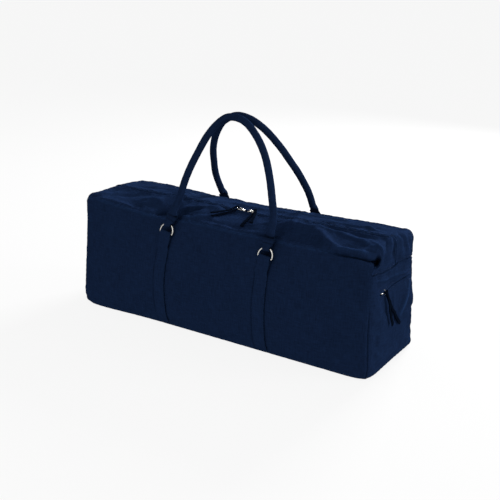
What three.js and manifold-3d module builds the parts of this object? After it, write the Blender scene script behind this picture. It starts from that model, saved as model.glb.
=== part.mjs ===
// Long soft kit bag in navy cotton canvas: sewn panels round a box, a zip along the top that runs
// down both ends, a zipped pocket on the right end, and two padded handles on D-rings and straps.
// Millimetres. X runs along the bag, -Y is its front, +Z is up, and the origin is the base's centre.
import * as THREE from 'three';
import { mergeVertices } from 'three/addons/utils/BufferGeometryUtils.js';
import Module from 'manifold-3d';

// Driving dimensions
const bag = { length: 700, depth: 200, height: 246, edgeRadius: 14, baseRadius: 6, wall: 2, seamInset: 0.5 };
const turnDown = 44; // how far the top reaches down over each end
const swell = { sides: 16, lean: 6, ends: 6, crown: 11 };
const slump = { leftTopIn: 13, leftBaseOut: 3, rightBaseOut: 4 }; // how the ends lean
const seat = { left: -122, right: 123, frontIn: 15, backIn: 4, reach: 50 }; // where handles draw the top in
const mainZip = { opening: 9, chainWidth: 5, chainHeight: 2.4, tapeWidth: 32, tapeThickness: 0.9 };
const pocketZip = { height: 165, opening: 9, length: 144, tapeWidth: 22 };
const strap = { width: 27, thickness: 2, foot: 9, turnBack: 24, lean: { left: 9, right: 4 } };
const ring = {
  wire: 3.4,
  bar: 24.6,
  corner: 3.6,
  bow: 15.9,
  tilt: 7,
  lean: { front: 20.4, back: 8.4 },
  barHeight: { front: { left: 206, right: 200 }, back: { left: 199, right: 196 } },
};
const handle = { diameter: 15, lean: 20.4 };
const flap = { width: 27, ringWidth: 15, thickness: 2.2, top: 38, loopDrop: 6.2 }; // a handle's flat end
const slider = { length: 13, width: 8.2, plate: 2, bridge: 2, bridgeRise: 3 };
const link = { length: 12, halfWidth: 4.6, wire: 1.6, tilt: 14 };
const tie = { width: 7, thickness: 1.8 };
const clearance = 0.4; // between pieces that lie on one another

// How far the long top edges rise or sink along the bag, as places along X and rises.
const edgeRises = {
  front: [
    [-350, 7], [-317, 6.5], [-263, 0.5], [-206, -4.5], [-160, -10], [-124, -14.5], [-92, -10.5], [-60, -5],
    [-14, -3.5], [30, -6], [73, -8.5], [120, -11.5], [160, -11], [194, -9], [226, -6.5], [264, -6], [350, -5],
  ],
  back: [
    [-350, -4], [-310, 1], [-260, 4.5], [-200, 2.5], [-140, 0], [-60, -1.5], [0, -4], [60, -2.5], [120, 0.5],
    [200, 1], [300, 2.5], [350, 3],
  ],
};

// Folds of the top, each a ridge or a hollow along a short line on the top's plan.
const topFolds = [
  { line: [[148, -36], [196, -46], [236, -70], [264, -94]], rise: 10, spread: 19 },
  { line: [[-108, -66], [-78, -44], [-46, -22]], rise: 5, spread: 17 },
  { line: [[-142, -74], [-134, -58]], rise: -7, spread: 18 },
  { line: [[-196, -62], [-156, 14]], rise: 4, spread: 20 },
  { line: [[168, -86], [206, -84]], rise: -4, spread: 20 },
  { line: [[0, -10], [50, -5]], rise: -6, spread: 50 },
];

// Pushes of the cloth about single points: a tuck in one top corner, the right end's lifted seam and
// soft creases, and the corners of the base.
const pushes = [
  { x: 346, y: -100, z: 244, reach: 20, dx: -9, dy: 11, dz: -7 },
  { x: 350, y: -100, z: 202, reach: 40, dx: 0, dy: 0, dz: 8 },
  { x: 350, y: 62, z: 112, reach: 32, dx: 4, dy: 0, dz: 0 },
  { x: 350, y: 0, z: 165, reach: 40, dx: -3, dy: 0, dz: 0 },
  { x: -300, y: -100, z: 0, reach: 90, dx: 0, dy: -7, dz: 0 },
  { x: 350, y: 100, z: 20, reach: 90, dx: 4, dy: 3, dz: 0 },
  { x: 350, y: -100, z: 0, reach: 20, dx: -3, dy: 3, dz: 0 },
];

// Each handle's arch in its leaning plane: places across along X, and rises from the right ring's bar.
const arches = {
  front: [
    [-102, 54], [-96, 85], [-90, 126], [-78, 167], [-56, 220], [-28, 253], [-3, 259], [24, 252], [51, 232],
    [79, 199], [101, 157], [119, 109], [129, 78], [131, 51],
  ],
  back: [
    [-113, 58], [-117, 100], [-107, 141], [-87, 199], [-58, 241], [-29, 259], [-7, 263], [20, 256], [50, 233],
    [80, 193], [99, 154], [109, 114], [116, 85], [119, 58],
  ],
};
// Where each flap's upper end lies along X.
const flapTops = { front: { left: -105, right: 128 }, back: { left: -104, right: 128 } };

// Tips of the pull ties: on the top's plan for the main zip, on the right end for the pocket.
const mainSliders = [
  { name: 'left', x: 10, turn: -1, tips: [{ x: -44, y: -42 }, { x: -34, y: -56 }] },
  { name: 'right', x: 30, turn: 1, tips: [{ x: 70, y: -56 }, { x: 56, y: -70 }] },
];
const pocketSlider = { y: -60, tips: [{ y: -30, z: 96 }, { y: 18, z: 84 }] };

const navy = { color: 0x1d2436, roughness: 0.92, metalness: 0 };
const darkTape = { color: 0x161b29, roughness: 0.85, metalness: 0 };
const nickel = { color: 0xc9c9c8, roughness: 0.25, metalness: 1 };

const halfLength = bag.length / 2;
const halfDepth = bag.depth / 2;
const endSeam = bag.height - turnDown;
const model = new THREE.Group();
const wasm = await Module();
wasm.setup();

function addPiece(name, geometry, look) {
  geometry.computeVertexNormals();
  const mesh = new THREE.Mesh(geometry, new THREE.MeshStandardMaterial(look));
  mesh.name = name;
  model.add(mesh);
  return mesh;
}

const vector = (x, y, z) => new THREE.Vector3(x, y, z);
const mix = THREE.MathUtils.lerp;
const smooth = (low, high, value) => THREE.MathUtils.smoothstep(value, low, high);
const bell = (distance, reach) => Math.exp(-((distance / reach) ** 2));

// Even steps from one value to another, both included.
function steps(from, to, count) {
  return Array.from({ length: count + 1 }, (_, i) => mix(from, to, i / count));
}

// The value at a place along a table of places and values, straight between its rows.
function along(table, place) {
  const next = table.findIndex(([x]) => x >= place);
  if (next <= 0) return next === 0 ? table[0][1] : table.at(-1)[1];
  const [[x0, y0], [x1, y1]] = [table[next - 1], table[next]];
  return mix(y0, y1, (place - x0) / (x1 - x0));
}

// A closed geometry from points and triangles, turned so that its faces point out.
function closedGeometry(points, triangles) {
  let volume = 0;
  for (const [a, b, c] of triangles) {
    volume += points[a].dot(vector(0, 0, 0).crossVectors(points[b], points[c]));
  }
  const geometry = new THREE.BufferGeometry().setFromPoints(points);
  geometry.setIndex(triangles.flatMap(([a, b, c]) => (volume < 0 ? [a, c, b] : [a, b, c])));
  return geometry;
}

// How far the filled cloth hangs from the plain rounded box at a point of that box.
function drape(p) {
  const lengthwise = p.x / halfLength;
  const across = p.y / halfDepth;
  const up = Math.max(p.z / bag.height, 0);
  const offset = vector(0, 0, 0);
  const fromBase = smooth(0, 0.12, up);
  const sideSwell = swell.sides * Math.sin(Math.PI * up ** 0.75) - swell.lean * up ** 5;
  offset.y += across * (1 - lengthwise ** 4) * fromBase * sideSwell;
  offset.x += lengthwise * (1 - across ** 4) * fromBase * swell.ends * Math.sin(Math.PI * up ** 0.8);

  const atEnd = Math.abs(lengthwise) ** 3;
  const low = 1 - smooth(0, 0.45, up);
  const leftLean = slump.leftTopIn * smooth(0.2, 1, up) - slump.leftBaseOut * low;
  offset.x += atEnd * (lengthwise < 0 ? leftLean : slump.rightBaseOut * low);

  const edgeRise = along(across < 0 ? edgeRises.front : edgeRises.back, p.x);
  const crown = swell.crown * (1 - across ** 2) + smooth(0.2, 1, Math.abs(across)) * edgeRise;
  offset.z += smooth(0.8, 1, up) * crown;

  const nearTopEdge = smooth(0.56, 0.98, up) * smooth(0.35, 1, Math.abs(across));
  const drawn = (bell(p.x - seat.left, seat.reach) + bell(p.x - seat.right, seat.reach)) * nearTopEdge;
  offset.y -= Math.sign(across) * drawn * (across < 0 ? seat.frontIn : seat.backIn);

  const onTop = smooth(0.9, 1, up) * (1 - smooth(0.78, 0.98, Math.abs(across)));
  const onPlan = vector(p.x, p.y, 0);
  for (const fold of topFolds) {
    const spots = fold.line.map(([x, y]) => vector(x, y, 0));
    const spans = spots.slice(1).map((spot, i) => new THREE.Line3(spots[i], spot));
    const nearest = spans.map((span) => span.closestPointToPoint(onPlan, true, vector(0, 0, 0)));
    const gaps = nearest.map((spot) => spot.distanceTo(onPlan));
    offset.z += fold.rise * bell(Math.min(...gaps), fold.spread) * onTop;
  }
  for (const push of pushes) {
    const weight = bell(p.distanceTo(vector(push.x, push.y, push.z)), push.reach);
    offset.add(vector(push.dx, push.dy, push.dz).multiplyScalar(weight));
  }
  return offset;
}

// A point of the sharp box, moved onto the rounded and draped cloth, some depth below its outside.
function onCloth(sharp, depth) {
  const r = mix(bag.baseRadius, bag.edgeRadius, smooth(0, 60, sharp.z)); // edges are crisp at the base
  const core = sharp.clone().clamp(
    vector(r - halfLength, r - halfDepth, bag.baseRadius),
    vector(halfLength - r, halfDepth - r, bag.height - bag.edgeRadius),
  );
  const outward = sharp.clone().sub(core).normalize();
  const outside = core.clone().addScaledVector(outward, r);
  return core.addScaledVector(outward, r - depth).add(drape(outside));
}

// A cloth panel over a grid of the sharp box, with an optional slit left out of the grid.
function clothPanel(columns, rows, sharpPoint, inSlit = () => false, depths = [0, bag.wall]) {
  const points = [];
  for (const depth of depths) {
    for (const u of columns) {
      for (const v of rows) points.push(onCloth(sharpPoint(u, v), depth));
    }
  }
  const layer = columns.length * rows.length;
  const corner = (i, j) => i * rows.length + j;
  const kept = (i, j) =>
    i >= 0 && j >= 0 && i < columns.length - 1 && j < rows.length - 1 && !inSlit(i, j);
  const triangles = [];
  const quad = (a, b, c, d) => triangles.push([a, b, c], [a, c, d]);
  const rim = (a, b) => quad(b, a, a + layer, b + layer);
  for (let i = 0; i < columns.length - 1; i++) {
    for (let j = 0; j < rows.length - 1; j++) {
      if (!kept(i, j)) continue;
      const [a, b, c, d] = [corner(i, j), corner(i + 1, j), corner(i + 1, j + 1), corner(i, j + 1)];
      quad(a, b, c, d);
      quad(a + layer, d + layer, c + layer, b + layer);
      if (!kept(i, j - 1)) rim(a, b);
      if (!kept(i + 1, j)) rim(b, c);
      if (!kept(i, j + 1)) rim(c, d);
      if (!kept(i - 1, j)) rim(d, a);
    }
  }
  return closedGeometry(points, triangles);
}

// A solid through a run of stations, each a centre, a direction across, half sizes and a roundness:
// a section is an ellipse at roundness 2 and nears a rectangle as that grows.
function sweep(stations, sides, isLoop) {
  const count = stations.length;
  const points = [];
  stations.forEach((station, i) => {
    const before = stations[isLoop ? (i + count - 1) % count : Math.max(i - 1, 0)];
    const after = stations[isLoop ? (i + 1) % count : Math.min(i + 1, count - 1)];
    const tangent = after.center.clone().sub(before.center).normalize();
    const facing = tangent.clone().cross(station.across).normalize();
    const across = facing.clone().cross(tangent);
    for (let k = 0; k < sides; k++) {
      const angle = ((k + 0.5) / sides) * 2 * Math.PI;
      const power = 2 / station.roundness;
      const a = Math.sign(Math.cos(angle)) * Math.abs(Math.cos(angle)) ** power;
      const b = Math.sign(Math.sin(angle)) * Math.abs(Math.sin(angle)) ** power;
      const point = station.center.clone().addScaledVector(across, a * station.halfWidth);
      points.push(point.addScaledVector(facing, b * station.halfThickness));
    }
  });
  const triangles = [];
  const spans = isLoop ? count : count - 1;
  for (let i = 0; i < spans; i++) {
    for (let k = 0; k < sides; k++) {
      const a = i * sides + k;
      const b = i * sides + ((k + 1) % sides);
      const c = ((i + 1) % count) * sides + ((k + 1) % sides);
      const d = ((i + 1) % count) * sides + k;
      triangles.push([a, b, c], [a, c, d]);
    }
  }
  if (!isLoop) {
    const last = (count - 1) * sides;
    for (let k = 1; k < sides - 1; k++) {
      triangles.push([0, k + 1, k], [last, last + k, last + k + 1]);
    }
  }
  return closedGeometry(points, triangles);
}

// Grid lines shared by neighbouring panels, so that both sides of a seam follow one line.
// They crowd toward the rounded edges.
const bend = bag.edgeRadius;
const midBend = 0.4 * bend;
function withEdges(from, to, inner) {
  return [from + bag.seamInset, from + midBend, ...inner, to - midBend, to - bag.seamInset];
}

const slit = {
  ends: [-pocketZip.length / 2, pocketZip.length / 2],
  edges: [pocketZip.height - pocketZip.opening / 2, pocketZip.height + pocketZip.opening / 2],
};
// Lines under a leaning strap: both its edges at the foot, and its right edge at the ring.
function underStrap(end, count) {
  return steps(seat[end] - strap.width / 2, seat[end] + strap.width / 2 + strap.lean[end], count);
}
const leftLines = underStrap('left', 3);
const rightLines = underStrap('right', 2);
const besideStrap = 26;
const lengthInner = [
  ...steps(bend - halfLength, leftLines[0] - besideStrap, 5),
  ...leftLines,
  ...steps(leftLines.at(-1) + besideStrap, rightLines[0] - besideStrap, 5),
  ...rightLines,
  ...steps(rightLines.at(-1) + besideStrap, halfLength - bend, 6),
];
const lengthLines = withEdges(-halfLength, halfLength, lengthInner);
const wallLevels = [50, 95, 140, 172];
const turnLevel = mix(endSeam, bag.height - bend, 0.5);
const topBend = bag.height - bend;
const heightLines = withEdges(0, bag.height, [bend, ...wallLevels, endSeam, turnLevel, topBend]);
const zipEdge = mainZip.opening / 2;
const seamEdge = halfDepth - bag.seamInset;
const tapeEdge = mainZip.tapeWidth / 2;
const depthEdges = [slit.ends[1], halfDepth - bend, halfDepth - midBend, seamEdge];
const betweenTapeAndSlit = (count) => steps(tapeEdge, slit.ends[1], count).slice(0, count);
const frontLines = [zipEdge, ...betweenTapeAndSlit(3), ...depthEdges].map((y) => -y).reverse();
const backLines = [zipEdge, ...betweenTapeAndSlit(2), ...depthEdges];
const depthLines = [...frontLines, ...backLines];

function longWall(name, side) {
  addPiece(name, clothPanel(lengthLines, heightLines, (x, z) => vector(x, side * halfDepth, z)), navy);
}

function basePanel() {
  const rows = withEdges(-halfDepth, halfDepth, steps(bend - halfDepth, halfDepth - bend, 2));
  addPiece('bottom_panel', clothPanel(lengthLines, rows, (x, y) => vector(x, y, 0)), navy);
}

function endPanel(name, side, middleRows, hasPocket) {
  const levels = [...wallLevels.slice(0, 3), ...middleRows];
  const rows = [bag.seamInset, midBend, bend, ...levels, endSeam - bag.seamInset];
  const alongSlit = (i) => depthLines[i] >= slit.ends[0] && depthLines[i + 1] <= slit.ends[1];
  const inSlit = (i, j) => hasPocket && alongSlit(i) && rows[j] === slit.edges[0];
  addPiece(name, clothPanel(depthLines, rows, (y, z) => vector(side * halfLength, y, z), inSlit), navy);
}

// The top's line: up over the left end, along the top and down over the right end.
const turnHeights = [endSeam + bag.seamInset, turnLevel, topBend, bag.height - midBend, bag.height];
const topSpots = [
  ...turnHeights.map((z) => ({ x: -halfLength, z })),
  ...[midBend - halfLength, ...lengthInner, halfLength - midBend].map((x) => ({ x, z: bag.height })),
  ...turnHeights.map((z) => ({ x: halfLength, z })).reverse(),
];

function topHalf(name, rows) {
  addPiece(name, clothPanel(topSpots, rows, (spot, y) => vector(spot.x, y, spot.z)), navy);
}

// A flat band along the top's line, between two depths, with lines at these distances from the middle.
function topBand(name, halfWidths, depths, look) {
  const rows = [...halfWidths.map((w) => -w).reverse(), ...halfWidths];
  const place = (spot, y) => vector(spot.x, y, spot.z);
  addPiece(name, clothPanel(topSpots, rows, place, undefined, depths), look);
}

function mainZipper() {
  const tapeTop = bag.wall + clearance;
  topBand('zip_tape', [zipEdge, tapeEdge], [tapeTop, tapeTop + mainZip.tapeThickness], darkTape);
  const chainFoot = tapeTop - 2 * clearance;
  topBand('zip_chain', [mainZip.chainWidth / 2], [chainFoot - mainZip.chainHeight, chainFoot], darkTape);
}

function pocketZipper() {
  const place = (y, z) => vector(halfLength, y, z);
  const inner = depthLines.filter((y) => y > slit.ends[0] && y < slit.ends[1]);
  const columns = [slit.ends[0] - 6, slit.ends[0], ...inner, slit.ends[1], slit.ends[1] + 6];
  const half = pocketZip.tapeWidth / 2;
  const rows = [pocketZip.height - half, ...slit.edges, pocketZip.height + half];
  const tapeTop = bag.wall + clearance;
  const tape = clothPanel(columns, rows, place, undefined, [tapeTop, tapeTop + mainZip.tapeThickness]);
  addPiece('pocket_tape', tape, darkTape);
  const chainRows = [pocketZip.height - mainZip.chainWidth / 2, pocketZip.height + mainZip.chainWidth / 2];
  const chainFoot = tapeTop - 2 * clearance;
  const chainDepths = [chainFoot - mainZip.chainHeight, chainFoot];
  const inSlitColumns = [slit.ends[0] + 1, ...inner, slit.ends[1] - 1];
  addPiece('pocket_chain', clothPanel(inSlitColumns, chainRows, place, undefined, chainDepths), darkTape);
}

const sideOf = { front: -1, back: 1 };

// A point off a long wall: out along the wall's own slope there, clear of it across a strap's width.
function offWall(side, x, height, outward) {
  const wallAt = (dx, z) => onCloth(vector(x + dx, side * halfDepth, z), 0);
  const slope = wallAt(0, height + 3).sub(wallAt(0, height - 3));
  const normal = vector(0, side * slope.z, -side * slope.y).normalize();
  const middle = wallAt(0, height);
  const edges = steps(-strap.width / 2, strap.width / 2, 4).map((dx) => wallAt(dx, height));
  const proud = Math.max(...edges.map((edge) => edge.sub(middle).dot(normal)));
  return middle.addScaledVector(normal, outward + proud);
}

// The strap's run up the wall: height and distance out of its middle, round the bar and back down.
const strapHalf = strap.thickness / 2;
const eyeRadius = ring.wire / 2 + 2 * clearance + strapHalf;
const innerLayer = strapHalf + 4 * clearance;
const barOut = innerLayer + eyeRadius;

function strapRun(bar) {
  const layer = strapHalf + 1.5 * clearance;
  const stackTop = bar - strap.turnBack;
  const run = heightLines
    .filter((z) => z > strap.foot && z < stackTop - 12)
    .map((z) => ({ height: z, out: layer }));
  run.unshift({ height: strap.foot, out: layer });
  run.push({ height: stackTop - 9, out: layer + 0.6 });
  run.push({ height: stackTop, out: innerLayer + strap.thickness + clearance });
  run.push({ height: bar - 10, out: innerLayer + strap.thickness + clearance });
  for (const turn of steps(-20, 180, 7)) {
    const angle = THREE.MathUtils.degToRad(turn);
    run.push({ height: bar + eyeRadius * Math.sin(angle), out: barOut + eyeRadius * Math.cos(angle) });
  }
  run.push({ height: bar - 8, out: innerLayer });
  run.push({ height: stackTop + 4, out: innerLayer });
  return run;
}

// Directions up a plane that leans in over the bag by some degrees, and out of it.
function leaning(face, degrees) {
  const angle = THREE.MathUtils.degToRad(degrees);
  const rise = vector(0, -sideOf[face] * Math.sin(angle), Math.cos(angle));
  const out = vector(0, sideOf[face] * Math.cos(angle), Math.sin(angle));
  return { rise, out };
}

// The middle of a ring's bar.
const ringTilt = Math.tan(THREE.MathUtils.degToRad(ring.tilt));
function barSpot(face, end) {
  return offWall(sideOf[face], seat[end] + strap.lean[end], ring.barHeight[face][end], barOut);
}

// The strap leans to the right as it rises, and its eye tilts with the ring.
function strapPiece(name, face, end) {
  const bar = ring.barHeight[face][end];
  const { rise } = leaning(face, ring.lean[face]);
  const stations = strapRun(bar).map(({ height, out }) => {
    const tilt = ringTilt * smooth(bar - 50, bar - 8, height);
    const x = seat[end] + strap.lean[end] * smooth(90, bar, height) + tilt * (height - bar);
    return {
      center: offWall(sideOf[face], x, height, out),
      across: vector(1, 0, 0).addScaledVector(rise, -tilt).normalize(),
      halfWidth: strap.width / 2,
      halfThickness: strapHalf,
      roundness: 16,
    };
  });
  addPiece(name, sweep(stations, 4, false), navy);
}

// A place in a handle's plane, which starts at the right ring's bar. Where the rings stand steeper
// than the handle leans, its legs bow out over the bag's edge.
function inHandle(face, x, up) {
  const { rise, out } = leaning(face, handle.lean);
  const steeper = Math.tan(THREE.MathUtils.degToRad(handle.lean - ring.lean[face]));
  const bar = barSpot(face, 'right').setX(x);
  return bar.addScaledVector(rise, up).addScaledVector(out, steeper * up * (1 - smooth(40, 180, up)));
}

// The D-ring's wire: a straight bar, two small corners and a half-round bow.
function ringPiece(name, face, end) {
  const outline = [];
  const arc = (centerX, centerUp, radius, from, to, count) => {
    for (const turn of steps(from, to, count)) {
      const angle = THREE.MathUtils.degToRad(turn);
      outline.push({ x: centerX + radius * Math.cos(angle), up: centerUp + radius * Math.sin(angle) });
    }
  };
  arc(ring.bar / 2, ring.corner, ring.corner, -90, -20, 2);
  arc(0, ring.corner, ring.bow, 0, 180, 12);
  arc(-ring.bar / 2, ring.corner, ring.corner, 200, 270, 2);
  const tilt = THREE.MathUtils.degToRad(ring.tilt);
  const { rise, out } = leaning(face, ring.lean[face]);
  const upward = rise.clone().multiplyScalar(Math.cos(tilt)).add(vector(Math.sin(tilt), 0, 0));
  const level = vector(Math.cos(tilt), 0, 0).addScaledVector(rise, -Math.sin(tilt));
  const stations = outline.map((spot) => ({
    center: barSpot(face, end).addScaledVector(level, spot.x).addScaledVector(upward, spot.up),
    across: out,
    halfWidth: ring.wire / 2,
    halfThickness: ring.wire / 2,
    roundness: 2,
  }));
  addPiece(name, sweep(stations, 6, true), nickel);
}

// One handle: a flap in front of the ring, a loop under the ring's bow, then the round arch.
function handlePiece(name, face) {
  const ringAxes = leaning(face, ring.lean[face]);
  const half = flap.thickness / 2;
  const loopRadius = ring.wire / 2 + clearance + half;
  const bowTop = ring.corner + ring.bow + ring.wire / 2;
  const loopUp = bowTop - flap.loopDrop; // low enough to clear the bow beside its top
  const layer = half + clearance / 2;

  // Stations of one end, from the flap's end through the loop to the back layer.
  function tabStations(end) {
    const bar = barSpot(face, end);
    const spots = [
      { up: flap.top, away: layer },
      { up: bowTop + 5, away: layer },
      { up: bowTop, away: loopRadius },
      ...steps(0, -180, 6).map((turn) => {
        const angle = THREE.MathUtils.degToRad(turn);
        return { up: loopUp + loopRadius * Math.sin(angle), away: loopRadius * Math.cos(angle) };
      }),
      { up: bowTop, away: -loopRadius },
      { up: bowTop + 5, away: -layer },
      { up: flap.top, away: -layer },
    ];
    return spots.map(({ up, away }) => {
      const share = smooth(loopUp - loopRadius, flap.top, up);
      const center = bar.clone().setX(mix(bar.x, flapTops[face][end], share));
      center.addScaledVector(ringAxes.rise, up).addScaledVector(ringAxes.out, away);
      return {
        center,
        across: vector(1, 0, 0),
        halfWidth: mix(flap.ringWidth, flap.width, share) / 2,
        halfThickness: half,
        roundness: 6,
      };
    });
  }

  const curve = new THREE.CatmullRomCurve3(arches[face].map(([x, up]) => inHandle(face, x, up)));
  const round = handle.diameter / 2;
  const tube = curve.getSpacedPoints(27).map((center, i, all) => {
    const tangent = all[Math.min(i + 1, all.length - 1)].clone().sub(all[Math.max(i - 1, 0)]);
    const across = tangent.cross(leaning(face, handle.lean).out).normalize();
    return { center, across, halfWidth: round, halfThickness: round, roundness: 2 };
  });
  const left = tabStations('left');
  const right = tabStations('right').reverse();
  right.forEach((station) => station.across.negate());
  // Between flat tab and round tube the section swells step by step.
  const swelling = (flat, full) => ({
    center: flat.center.clone().lerp(full.center, 0.5),
    across: full.across,
    halfWidth: mix(flat.halfWidth, full.halfWidth, 0.6),
    halfThickness: mix(flat.halfThickness, full.halfThickness, 0.5),
    roundness: 3,
  });
  const stations = [
    ...left,
    swelling(left.at(-1), tube[0]),
    ...tube,
    swelling(right[0], tube.at(-1)),
    ...right,
  ];
  addPiece(name, sweep(stations, 8, false), navy);
}

// Joins two closed geometries into one.
function join(...geometries) {
  const solids = geometries.map((geometry) => {
    const plain = geometry.clone();
    plain.deleteAttribute('normal');
    plain.deleteAttribute('uv');
    const merged = mergeVertices(plain, 1e-3);
    return new wasm.Manifold(
      new wasm.Mesh({
        numProp: 3,
        vertProperties: new Float32Array(merged.attributes.position.array),
        triVerts: new Uint32Array(merged.index.array),
      }),
    );
  });
  const mesh = solids.reduce((whole, solid) => whole.add(solid)).getMesh();
  const geometry = new THREE.BufferGeometry();
  geometry.setAttribute('position', new THREE.BufferAttribute(mesh.vertProperties, 3));
  geometry.setIndex([...mesh.triVerts]);
  return geometry;
}

// A slider in its own frame: X along the zip toward its link, Y across, Z off the zip.
function sliderGeometry() {
  const plan = new THREE.Shape();
  plan.moveTo(-slider.length / 2, -slider.width * 0.3);
  plan.lineTo(-slider.length / 4, -slider.width / 2);
  plan.lineTo(slider.length / 2, -slider.width / 2);
  plan.lineTo(slider.length / 2, slider.width / 2);
  plan.lineTo(-slider.length / 4, slider.width / 2);
  plan.lineTo(-slider.length / 2, slider.width * 0.3);
  const plate = new THREE.ExtrudeGeometry(plan, { depth: slider.plate, bevelEnabled: false });
  const bridge = steps(0, 180, 8).map((turn) => {
    const angle = THREE.MathUtils.degToRad(turn);
    return {
      center: vector(
        slider.length * 0.3 * Math.cos(angle),
        0,
        slider.plate - 0.4 + (slider.bridgeRise + slider.bridge / 2) * Math.sin(angle),
      ),
      across: vector(0, 1, 0),
      halfWidth: slider.bridge,
      halfThickness: slider.bridge / 2,
      roundness: 4,
    };
  });
  return join(plate, sweep(bridge, 4, false));
}

// A wire link in the slider's frame: under the bridge, then up and away from the slider.
const linkTilt = THREE.MathUtils.degToRad(link.tilt);
const linkRise = slider.plate + link.wire / 2 + clearance;

function linkGeometry() {
  const stations = steps(0, 324, 9).map((turn) => {
    const angle = THREE.MathUtils.degToRad(turn);
    const away = (link.length / 2) * (1 - Math.cos(angle));
    return {
      center: vector(
        away * Math.cos(linkTilt),
        link.halfWidth * Math.sin(angle),
        linkRise + away * Math.sin(linkTilt),
      ),
      across: vector(-Math.sin(linkTilt), 0, Math.cos(linkTilt)),
      halfWidth: link.wire / 2,
      halfThickness: link.wire / 2,
      roundness: 2,
    };
  });
  return sweep(stations, 5, true);
}

// A folded strip through a link's far end: in along one tail, round the wire and out along the other.
// lieOn gives a point on the cloth from a share of the way to a tail's tip.
function tieGeometry(frame, lieOn, tips) {
  const far = vector(link.length * Math.cos(linkTilt), 0, linkRise + link.length * Math.sin(linkTilt));
  const loop = link.wire / 2 + 3 * clearance + tie.thickness / 2;
  const outward = vector(0, 0, 1).transformDirection(frame);
  const across = vector(0, 1, 0).transformDirection(frame);
  const width = (share) => mix(tie.width * 0.7, tie.width, share) / 2;
  const station = (center, share) => ({
    center,
    across,
    halfWidth: width(share),
    halfThickness: tie.thickness / 2,
    roundness: 6,
  });
  const tail = (tip, lift) =>
    steps(1, 0.3, 5).map((share) => station(lieOn(tip, share).addScaledVector(outward, lift), share));
  const turn = steps(70, 290, 6).map((degrees) => {
    const angle = THREE.MathUtils.degToRad(degrees);
    const spot = vector(far.x + loop * Math.cos(angle), 0, far.z + loop * Math.sin(angle));
    return station(spot.applyMatrix4(frame), 0);
  });
  const high = tail(tips[0], 2 * tie.thickness + 5 * clearance);
  const low = tail(tips[1], tie.thickness / 2 + 5 * clearance).reverse();
  const stations = [...high, ...turn, ...low];
  stations.forEach((spot, i) => {
    const isTurn = i >= high.length && i < high.length + turn.length;
    if (isTurn) return;
    const next = stations[Math.min(i + 1, stations.length - 1)].center;
    const previous = stations[Math.max(i - 1, 0)].center;
    const facing = i < high.length ? outward.clone() : outward.clone().negate();
    spot.across = facing.cross(next.clone().sub(previous)).normalize();
    if (spot.across.dot(across) < 0) spot.across.negate();
  });
  return sweep(stations, 6, false);
}

function sliderSet(names, frame, lieOn, tips) {
  const placed = [
    [names[0], sliderGeometry(), nickel],
    [names[1], linkGeometry(), nickel],
  ];
  for (const [name, geometry, look] of placed) {
    const mesh = addPiece(name, geometry, look);
    mesh.applyMatrix4(frame);
  }
  addPiece(names[2], tieGeometry(frame, lieOn, tips), navy);
}

const onTop = (x, y) => onCloth(vector(x, y, bag.height), 0);
const onEnd = (y, z) => onCloth(vector(halfLength, y, z), 0);
const overChain = mainZip.chainHeight - bag.wall + 2 * clearance;

function sliderSets() {
  for (const spec of mainSliders) {
    const zipTop = onTop(spec.x, 0);
    const frame = new THREE.Matrix4().makeBasis(
      vector(spec.turn, 0, 0),
      vector(0, spec.turn, 0),
      vector(0, 0, 1),
    );
    frame.setPosition(zipTop.x, zipTop.y, zipTop.z + overChain);
    const linkEnd = { x: spec.x + spec.turn * link.length, y: 0 };
    const lieOn = (tip, share) => onTop(mix(linkEnd.x, tip.x, share), mix(linkEnd.y, tip.y, share));
    const names = [`zip_slider_${spec.name}`, `zip_link_${spec.name}`, `pull_tie_${spec.name}`];
    sliderSet(names, frame, lieOn, spec.tips);
  }
  const zipFace = onEnd(pocketSlider.y, pocketZip.height);
  const frame = new THREE.Matrix4().makeBasis(vector(0, 1, 0), vector(0, 0, 1), vector(1, 0, 0));
  frame.setPosition(zipFace.x + overChain, zipFace.y, zipFace.z);
  const linkEnd = { y: pocketSlider.y + link.length, z: pocketZip.height };
  const lieOn = (tip, share) => onEnd(mix(linkEnd.y, tip.y, share), mix(linkEnd.z, tip.z, share));
  sliderSet(['pocket_slider', 'pocket_link', 'pocket_tie'], frame, lieOn, pocketSlider.tips);
}

longWall('front_panel', -1);
longWall('back_panel', 1);
basePanel();
endPanel('end_panel_left', -1, [wallLevels[3]], false);
endPanel('end_panel_right', 1, [...slit.edges, 186], true);
topHalf('top_panel_front', frontLines);
topHalf('top_panel_back', backLines);
mainZipper();
pocketZipper();
sliderSets();
for (const face of ['front', 'back']) {
  for (const end of ['left', 'right']) {
    strapPiece(`strap_${face}_${end}`, face, end);
    ringPiece(`d_ring_${face}_${end}`, face, end);
  }
  handlePiece(`handle_${face}`, face);
}

export default model;
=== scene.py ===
import math

import bpy
import numpy as np
from mathutils import Matrix, Vector


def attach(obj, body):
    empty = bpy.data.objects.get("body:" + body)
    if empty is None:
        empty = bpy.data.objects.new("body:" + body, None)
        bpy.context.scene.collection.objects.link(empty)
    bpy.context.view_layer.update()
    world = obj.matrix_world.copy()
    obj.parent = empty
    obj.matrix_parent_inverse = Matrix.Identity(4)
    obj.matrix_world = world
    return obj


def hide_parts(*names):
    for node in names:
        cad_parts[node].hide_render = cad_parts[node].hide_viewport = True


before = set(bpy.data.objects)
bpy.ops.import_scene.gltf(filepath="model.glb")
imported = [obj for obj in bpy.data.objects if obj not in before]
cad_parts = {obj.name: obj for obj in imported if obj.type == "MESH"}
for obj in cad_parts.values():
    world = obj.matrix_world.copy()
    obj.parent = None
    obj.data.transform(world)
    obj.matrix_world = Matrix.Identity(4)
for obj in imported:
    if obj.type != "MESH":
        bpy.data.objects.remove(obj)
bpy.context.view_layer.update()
scene = bpy.context.scene
print("frame loaded with", len(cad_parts), "nodes")

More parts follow.
